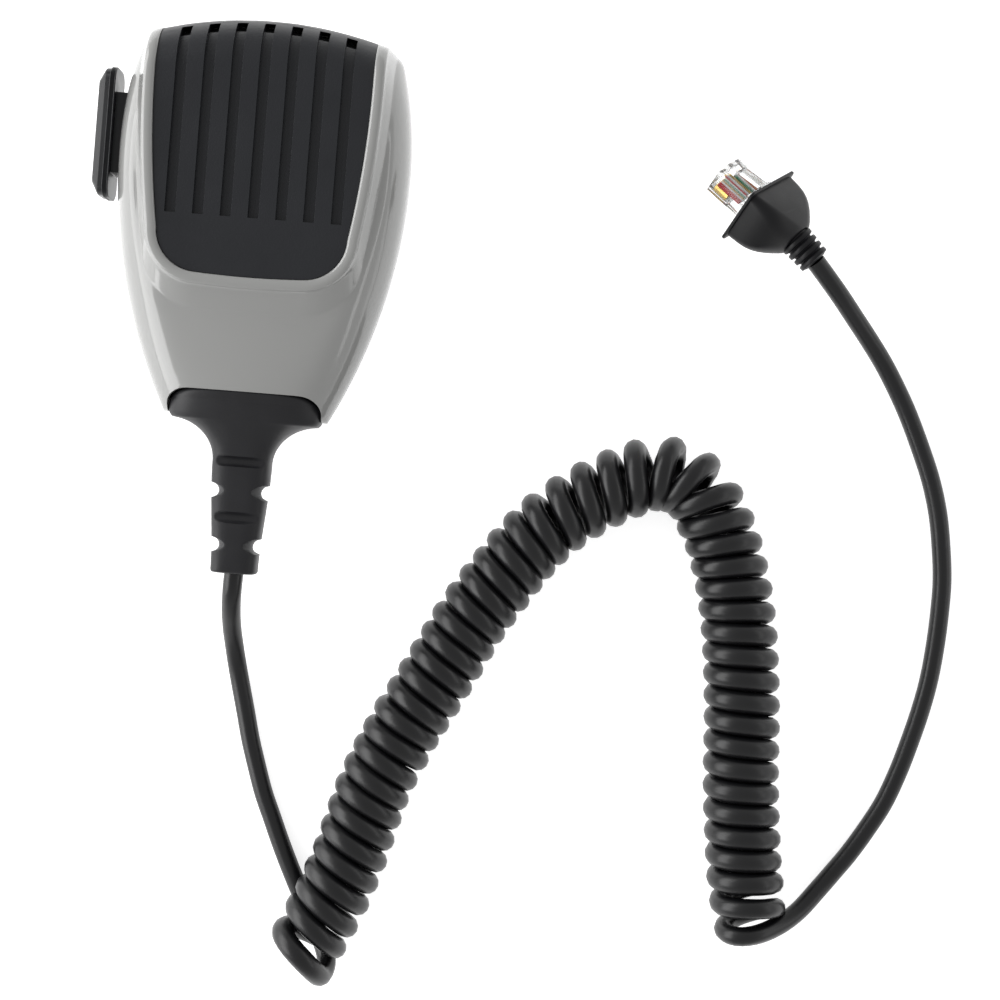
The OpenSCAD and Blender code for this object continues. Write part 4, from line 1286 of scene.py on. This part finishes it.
@dataclass
class Plug:
    """The modular plug in its own frame, +X to the tip and +Z on the latch side, and its rubber boot."""

    at: Place = (126.9, 13.7, 12.85)
    yaw: float = 140
    pitch: float = 12
    roll: float = 47
    relief_yaw: float = -43.3
    boot_l: float = 14
    relief_l: float = 8
    show: float = 11.8
    width: float = 11.68
    pitch_y: float = 1.02
    contacts: int = 8

    @property
    def axis(self) -> Matrix:
        """Turn of the plug's axis."""
        yaw, pitch = math.radians(self.yaw), math.radians(self.pitch)
        return Matrix.Rotation(yaw, 4, "Z") @ Matrix.Rotation(pitch, 4, "Y")

    @property
    def matrix(self) -> Matrix:
        """The plug's place and turn."""
        return Matrix.Translation(self.at) @ self.axis @ Matrix.Rotation(math.radians(self.roll), 4, "X")

    @property
    def metric(self) -> Matrix:
        """The plug's matrix with its place in metres.

        Returns:
            The matrix.
        """
        made = self.matrix.copy()
        made.translation = made.translation * MM
        return made

    def placed(self, ring: Sequence[Place]) -> Ring:
        """Points of the plug's frame in the row's frame."""
        return [tuple(self.matrix @ Vector(p)) for p in ring]

    @property
    def relief_base(self) -> Vector:
        """Where the ribbed relief starts inside the boot."""
        return Vector(self.at) - (self.boot_l - 1.5) * (self.axis @ Vector((1, 0, 0)))

    @property
    def relief_run(self) -> Vector:
        """Direction of the relief."""
        a = math.radians(self.relief_yaw)
        return Vector((math.cos(a), math.sin(a), 0))

    @property
    def relief_tip(self) -> Vector:
        """Where the cord leaves the relief."""
        return self.relief_base + (self.relief_l + 1) * self.relief_run

    def bar(self, label: str, steps: Sequence[Slab], z: float = 0.0) -> Piece:
        """Model a bar along the plug's axis.

        Args:
            label: the piece's name.
            steps: place along the axis, width, height and corner radius of each section.
            z: height of its middle over the axis.

        Returns:
            The closed mesh at its place.
        """
        rings = [rounded(x, (0, z), (wide, high), r) for x, wide, high, r in steps]
        return Bench.loft(label, [self.placed(ring) for ring in rings])

    def boot(self) -> None:
        """Model the plug's boot and its ribbed relief."""
        steps = [(0.0, 21.4, 15.6, 1.0), (0.0, 22.0, 16.2, 1.2), (-0.1, 22.0, 16.2, 1.2),
                 (-0.6, 22.0, 16.2, 1.2), (-0.7, 21.8, 16.0, 1.2), (-0.74, 20.6, 14.8, 1.6),
                 (-0.8, 20.4, 14.6, 2.0), (-2.5, 20.4, 14.6, 2.3), (-4.4, 20.4, 14.6, 2.7),
                 (-6.2, 20.1, 14.4, 3.1), (-7.8, 19.4, 13.9, 3.5), (-9.2, 18.3, 13.2, 3.9),
                 (-10.6, 16.6, 12.2, 4.2), (-12.0, 14.3, 11.0, 4.4), (-13.0, 12.2, 10.0, 4.4),
                 (-13.7, 10.4, 9.2, 4.3), (-14.0, 9.4, 8.6, 4.2)]
        body = self.bar("plug_boot_moulding", steps)
        Bench.cut(body, self.bar("plug_way_cutter", [(x, 11.7, 6.54, 0.2) for x in (-9.7, 2.0)]))
        Bench.cut(body, self.bar("latch_way_cutter", [(x, 7.7, 4.1, 0.3) for x in (-9.0, 2.0)], 4.6))
        Bench.smooth(body, 40)
        ribs = [(0.01, 0.0), (3.6, 0.0), (3.6, 1.1)]
        for i in range(4):
            x, r = 1 + i * self.relief_l / 4, 4.5 - 0.12 * i
            ribs += [(r - drop, x + along) for drop, along in ((0.9, 0.2), (0.25, 0.3), (0, 0.55), (0, 1.45),
                                                               (0.25, 1.65), (0.9, 1.8))]
        ribs += [(2.9, 9.0), (0.01, 9.0)]
        relief = Bench.lathe("relief_model", ribs, 48)
        turn = self.relief_run.to_track_quat("Z", "Y").to_matrix().to_4x4()
        relief.matrix_world = Matrix.Translation(self.relief_base * MM) @ turn
        Bench.settle(relief)
        Bench.smooth(relief, 45)
        piece = Bench.joined("plug_boot_moulding", [body, relief])
        mount(piece, "plug_rubber", "plug_boot", slot="boot_rubber")

    def body(self) -> None:
        """Model the clear body with its latch root and contact channels."""
        block = Bench.box("plug_clear_body", (self.show - 10.7, 0, 0), (21.4, self.width, 6.5))
        root = Bench.box("latch_root", (self.show - 1.6, 0, 3.9), (3.2, 6.2, 1.5))
        Bench.cut(block, root, "UNION")
        for y in self.rows():
            Bench.cut(block, Bench.box("channel_cutter", (self.show - 3.0, y, -3.2), (6.6, 0.5, 2.4)))
        Bench.bevel(block, 0.22, 2)
        Bench.smooth(block, 35)
        block.matrix_world = self.metric
        Bench.settle(block)
        mount(block, "plug_clear", "plug_body")

    def rows(self) -> list[float]:
        """Places of the contacts across the plug."""
        return [(i - (self.contacts - 1) / 2) * self.pitch_y for i in range(self.contacts)]

    def latch(self) -> None:
        """Finish the sprung latch from its solid."""
        piece = Bench.copy_of("plug_latch", "plug_latch_tab")
        Bench.bevel(piece, 0.25, 2)
        mount(piece, "plug_clear", "plug_latch", body="latch", smooth=35)

    def wires(self) -> None:
        """Lay the eight coloured conductors in the body."""
        colours = ("white", "orange", "white", "green", "gold", "white", "red", "red")
        rods = []
        for y, colour in zip(self.rows(), colours):
            rod = Bench.rod("sleeve", (self.show - 5.3, y, -0.6), 0.44, 7.4, Vector((1, 0, 0)), 16)
            Bench.bevel(rod, 0.1, 1)
            PALETTE.dress(rod, f"sleeve_{colour}")
            rods.append(rod)
        piece = Bench.joined("plug_conductors", rods)
        piece.matrix_world = self.metric
        Bench.settle(piece)
        mount(piece, "", "plug_wires", slot="lead_sleeves", smooth=40)

    def build(self) -> list[Piece]:
        """Make the plug.

        Returns:
            The pieces that hang on the cord.
        """
        self.boot()
        self.body()
        self.latch()
        self.wires()
        return [bpy.data.objects[f"plug_{name}"]
                for name in ("boot_moulding", "clear_body", "latch_tab", "conductors", "contacts")]


@dataclass
class Cord:
    """The cord from the boot to the plug: a straight lead, a left-hand coil and a straight tail."""

    plug: Plug
    diameter: float = 5.0
    coil_d: float = 20.0
    swell: float = 1.16
    per_turn: int = 26
    first_turn: float = 0.05
    last_turn: float = 48.17
    straight_step: float = 2.0
    turns: Steps = ((-6, -0.6), (4.2, 0), (6.7, 0.25), (14.4, 1.25), (43.8, 6.25), (134, 22.25),
                    (161.2, 26.25), (188.3, 30.25), (281.9, 46.25), (288.3, 47.25), (294, 48), (300, 48.6))
    aside: Steps = ((0, -0.3), (35, -0.85), (60, 0), (77, -0.8), (100, 0.1), (134, 0.7), (155, 0.25),
                    (181, 0.35), (200, 0), (240, 0.45), (265, 0.1), (300, 0))
    lean: Steps = ((0, 0.9), (45, 0.9), (60, 0.3), (80, -0.3), (110, 0.1), (150, 0.4), (190, 0.4),
                   (205, -0.1), (300, -0.1))

    @staticmethod
    def between(steps: Steps, value: float, back: bool = False) -> float:
        """Value between two steps, or the place of a value.

        Args:
            steps: places and their values, in order.
            value: the place, or the value where back is true.
            back: whether the place is wanted.

        Returns:
            The value, or the place.
        """
        if back:
            steps = tuple((v, s) for s, v in steps)
        i = next((k for k, step in enumerate(steps) if k and value <= step[0]), len(steps) - 1)
        (s0, v0), (s1, v1) = steps[i - 1], steps[i]
        return v0 + (v1 - v0) * (value - s0) / (s1 - s0)

    def coil(self) -> list[Vector]:
        """Turns of the coil, opened where the line bends and at its ends.

        Returns:
            The middle line of the turns.
        """
        step = 0.5
        axis = Track([(x, y, self.coil_d / 2) for x, y in COIL]).spaced(step)
        run = (axis[-1] - axis[-3]).normalized() * step
        axis += [axis[-1] + run * k for k in range(1, 24)]
        r = (self.coil_d - self.diameter * self.swell) / 2
        up = Vector((0, 0, 1))
        points = []
        count = round((self.last_turn - self.first_turn) * self.per_turn)
        for k in range(count + 1):
            turn = self.first_turn + (self.last_turn - self.first_turn) * k / count
            along = self.between(self.turns, turn, back=True)
            i = min(len(axis) - 2, max(0, int(along / step)))
            centre = axis[i].lerp(axis[i + 1], along / step - i)
            ahead = (axis[min(len(axis) - 1, i + 4)] - axis[max(0, i - 3)]).normalized()
            right = ahead.cross(up)
            c, s = math.cos(2 * math.pi * turn), math.sin(2 * math.pi * turn)
            centre += ahead * (-c * self.between(self.lean, along)) - right * self.between(self.aside, along)
            points.append(centre + r * (c * right + s * up))
        return points

    def route(self) -> tuple[list[Vector], list[float]]:
        """The whole middle line in millimetres, and the cord's thickness along it.

        Returns:
            The points, and the share of the diameter at each: the coil's strand is a little thicker.
        """
        lead = Track(LEAD).spaced(self.straight_step)
        coil = self.coil()
        end = Track([coil[-7], coil[-1], *TAIL, self.plug.relief_tip])
        fine = [end.at(1 + k / 12) for k in range((len(end.points) - 2) * 12 + 1)]
        out = Track(fine).spaced(self.straight_step)
        first = lead + self.joint(lead[-2], lead[-1], coil[0], coil[1])
        line = self.eased(first + coil + out[1:], (len(lead), len(first), len(first) + len(coil)))
        start, stop = len(lead), len(lead) + len(coil)
        more = [ease((k - start) / 20) * ease((stop - k) / 20) for k in range(len(line))]
        return line, [1 + (self.swell - 1) * share for share in more]

    @staticmethod
    def eased(line: list[Vector], spots: Sequence[int], reach: int = 5, passes: int = 6) -> list[Vector]:
        """Take the kinks out of a line around some of its points.

        Args:
            line: the points.
            spots: numbers of the points where two parts of the line meet.
            reach: how many points on each side move.
            passes: how often each of them is drawn to its neighbours.

        Returns:
            The same line, eased.
        """
        for _ in range(passes):
            for spot in spots:
                for i in range(spot - reach, spot + reach + 1):
                    share = 0.6 * (1 - abs(i - spot) / (reach + 1))
                    line[i] = line[i].lerp(line[i - 1].lerp(line[i + 1], 0.5), share)
        return line

    @staticmethod
    def joint(before: Vector, start: Vector, end: Vector, after: Vector) -> list[Vector]:
        """A smooth link between two lines.

        Args:
            before: the first line's last point but one.
            start: its last point.
            end: the second line's first point.
            after: its second point.

        Returns:
            The points between them.
        """
        gap = (end - start).length
        a, b = (start - before).normalized() * gap, (after - end).normalized() * gap
        out = []
        for k in range(1, 16):
            t = k / 16
            h1, h2 = 2 * t ** 3 - 3 * t * t + 1, t ** 3 - 2 * t * t + t
            h3, h4 = -2 * t ** 3 + 3 * t * t, t ** 3 - t * t
            out.append(h1 * start + h2 * a + h3 * end + h4 * b)
        return out

    def build(self, riders: list[Piece]) -> None:
        """Args:
            riders: the plug's pieces; not used.
        """
        route, swelling = self.route()
        line = [p * MM for p in route]
        curve = bpy.data.curves.new("curly_cord", "CURVE")
        curve.dimensions = "3D"
        spline = curve.splines.new("POLY")
        spline.points.add(len(line) - 1)
        for point, place, swell in zip(spline.points, line, swelling):
            point.co, point.radius = (*place, 1), swell
        curve.bevel_depth = self.diameter / 2 * MM
        curve.bevel_resolution = 4
        curve.use_fill_caps = True
        spline.use_smooth = True
        piece = bpy.data.objects.new("curly_cord", curve)
        bpy.context.scene.collection.objects.link(piece)
        mount(piece, "cord_black", "cord_lead", "cord_coil", "cord_tail")


# ---------------------------------------------------------------- stage


@dataclass
class Stage:
    """Camera, pale floor and soft lamps."""

    height: float = 560
    aim: Plan = (66.5, -68.0)
    tilt: float = 4.5
    lens: float = 76.03
    overhead: float = 0.5
    horizon: float = 0.8

    def camera(self) -> None:
        """Hang the camera straight above the table."""
        bpy.ops.object.camera_add(location=(self.aim[0] * MM, self.aim[1] * MM, self.height * MM),
                                  rotation=(0, 0, math.radians(self.tilt)))
        camera = bpy.context.active_object
        camera.data.lens = self.lens
        camera.data.sensor_width = 36
        camera.data.clip_start = 0.01
        bpy.context.scene.camera = camera

    def floor(self) -> None:
        """Lay the floor, white where the camera or a reflection sees it."""
        Bench.clear()
        bpy.ops.mesh.primitive_plane_add(size=60, location=(self.aim[0] * MM, self.aim[1] * MM, 0))
        piece = Bench.added("table_top")
        piece.data.materials.append(TableTop("table_white").make())

    def world(self) -> None:
        """Surroundings of a studio: paler at table height than overhead."""
        world = bpy.data.worlds.new("studio_air")
        bpy.context.scene.world = world
        graph = Graph(world)
        up = graph.add("SeparateXYZ", "Z", {"Vector": graph.add("TexCoord", "Generated")})
        fall = graph.add("MapRange", "Result", {"Value": up, "To Min": 1.0, "To Max": 0.0})
        curve = graph.add("Math", "Value", {0: fall, 1: 1.5}, operation="POWER")
        level = {"Value": curve, "To Min": self.overhead, "To Max": self.horizon}
        graph.feed(graph.tree.nodes["Background"], {
            "Color": (1, 1, 1, 1), "Strength": graph.add("MapRange", "Result", level)})

    def lamp(self, name: str, place: Place, width: float, depth: float, power: float) -> None:
        """Hang a soft lamp that faces the microphone.

        Args:
            name: the lamp's name.
            place: where it hangs, in millimetres.
            width: its width.
            depth: its depth.
            power: its power in watts.
        """
        target = Vector((self.aim[0] - 40, self.aim[1] + 30, 0))
        aim = (target - Vector(place)).to_track_quat("-Z", "Y").to_euler()
        bpy.ops.object.light_add(type="AREA", location=Vector(place) * MM, rotation=aim)
        lamp = bpy.context.active_object
        lamp.name = name
        lamp.data.shape = "RECTANGLE"
        lamp.data.size, lamp.data.size_y = width * MM, depth * MM
        lamp.data.energy = power

    def build(self) -> None:
        """Set the stage."""
        self.camera()
        self.floor()
        self.world()
        self.lamp("left_softbox", (-690, 30, 310), 1300, 560, 7.6)
        self.lamp("right_softbox", (760, 40, 320), 900, 120, 0.5)
        bpy.context.scene.view_settings.view_transform = "Standard"


# ---------------------------------------------------------------- pieces that stay as their solids


class Insides:
    """CAD nodes that keep their own solids, with their finishes."""

    finishes = {
        "grille_cloth": "speaker_cloth", "ptt_springs": "spring_steel", "ptt_switch": "switch_case",
        "switch_plunger": "switch_key", "cord_inner": "cord_black", "cable_clamp": "clamp_plastic",
        "clamp_screws": "screw_steel", "stud_screw": "screw_steel", "stud_washer": "screw_steel",
        "mic_capsule": "capsule_can", "capsule_holder": "holder_rubber", "circuit_board": "board_green",
        "board_screws": "screw_steel", "board_connector": "connector_cream", "inner_leads": "sleeve_red",
        "plug_contacts": "contact_gold",
    }

    def build(self) -> None:
        """Dress each node."""
        for node, finish in self.finishes.items():
            PALETTE.dress(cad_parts[node], finish)


def main() -> None:
    """Build the scene in order."""
    logging.basicConfig(level=logging.INFO, format="%(name)s: %(message)s")
    Stage().build()
    plug = Plug()
    Cord(plug).build(plug.build())
    form = HousingForm()
    Shells(form).build()
    Grille().build()
    TalkBar().build()
    Boot(form).build()
    Fasteners().build()
    Insides().build()


if __name__ == "__main__":
    main()
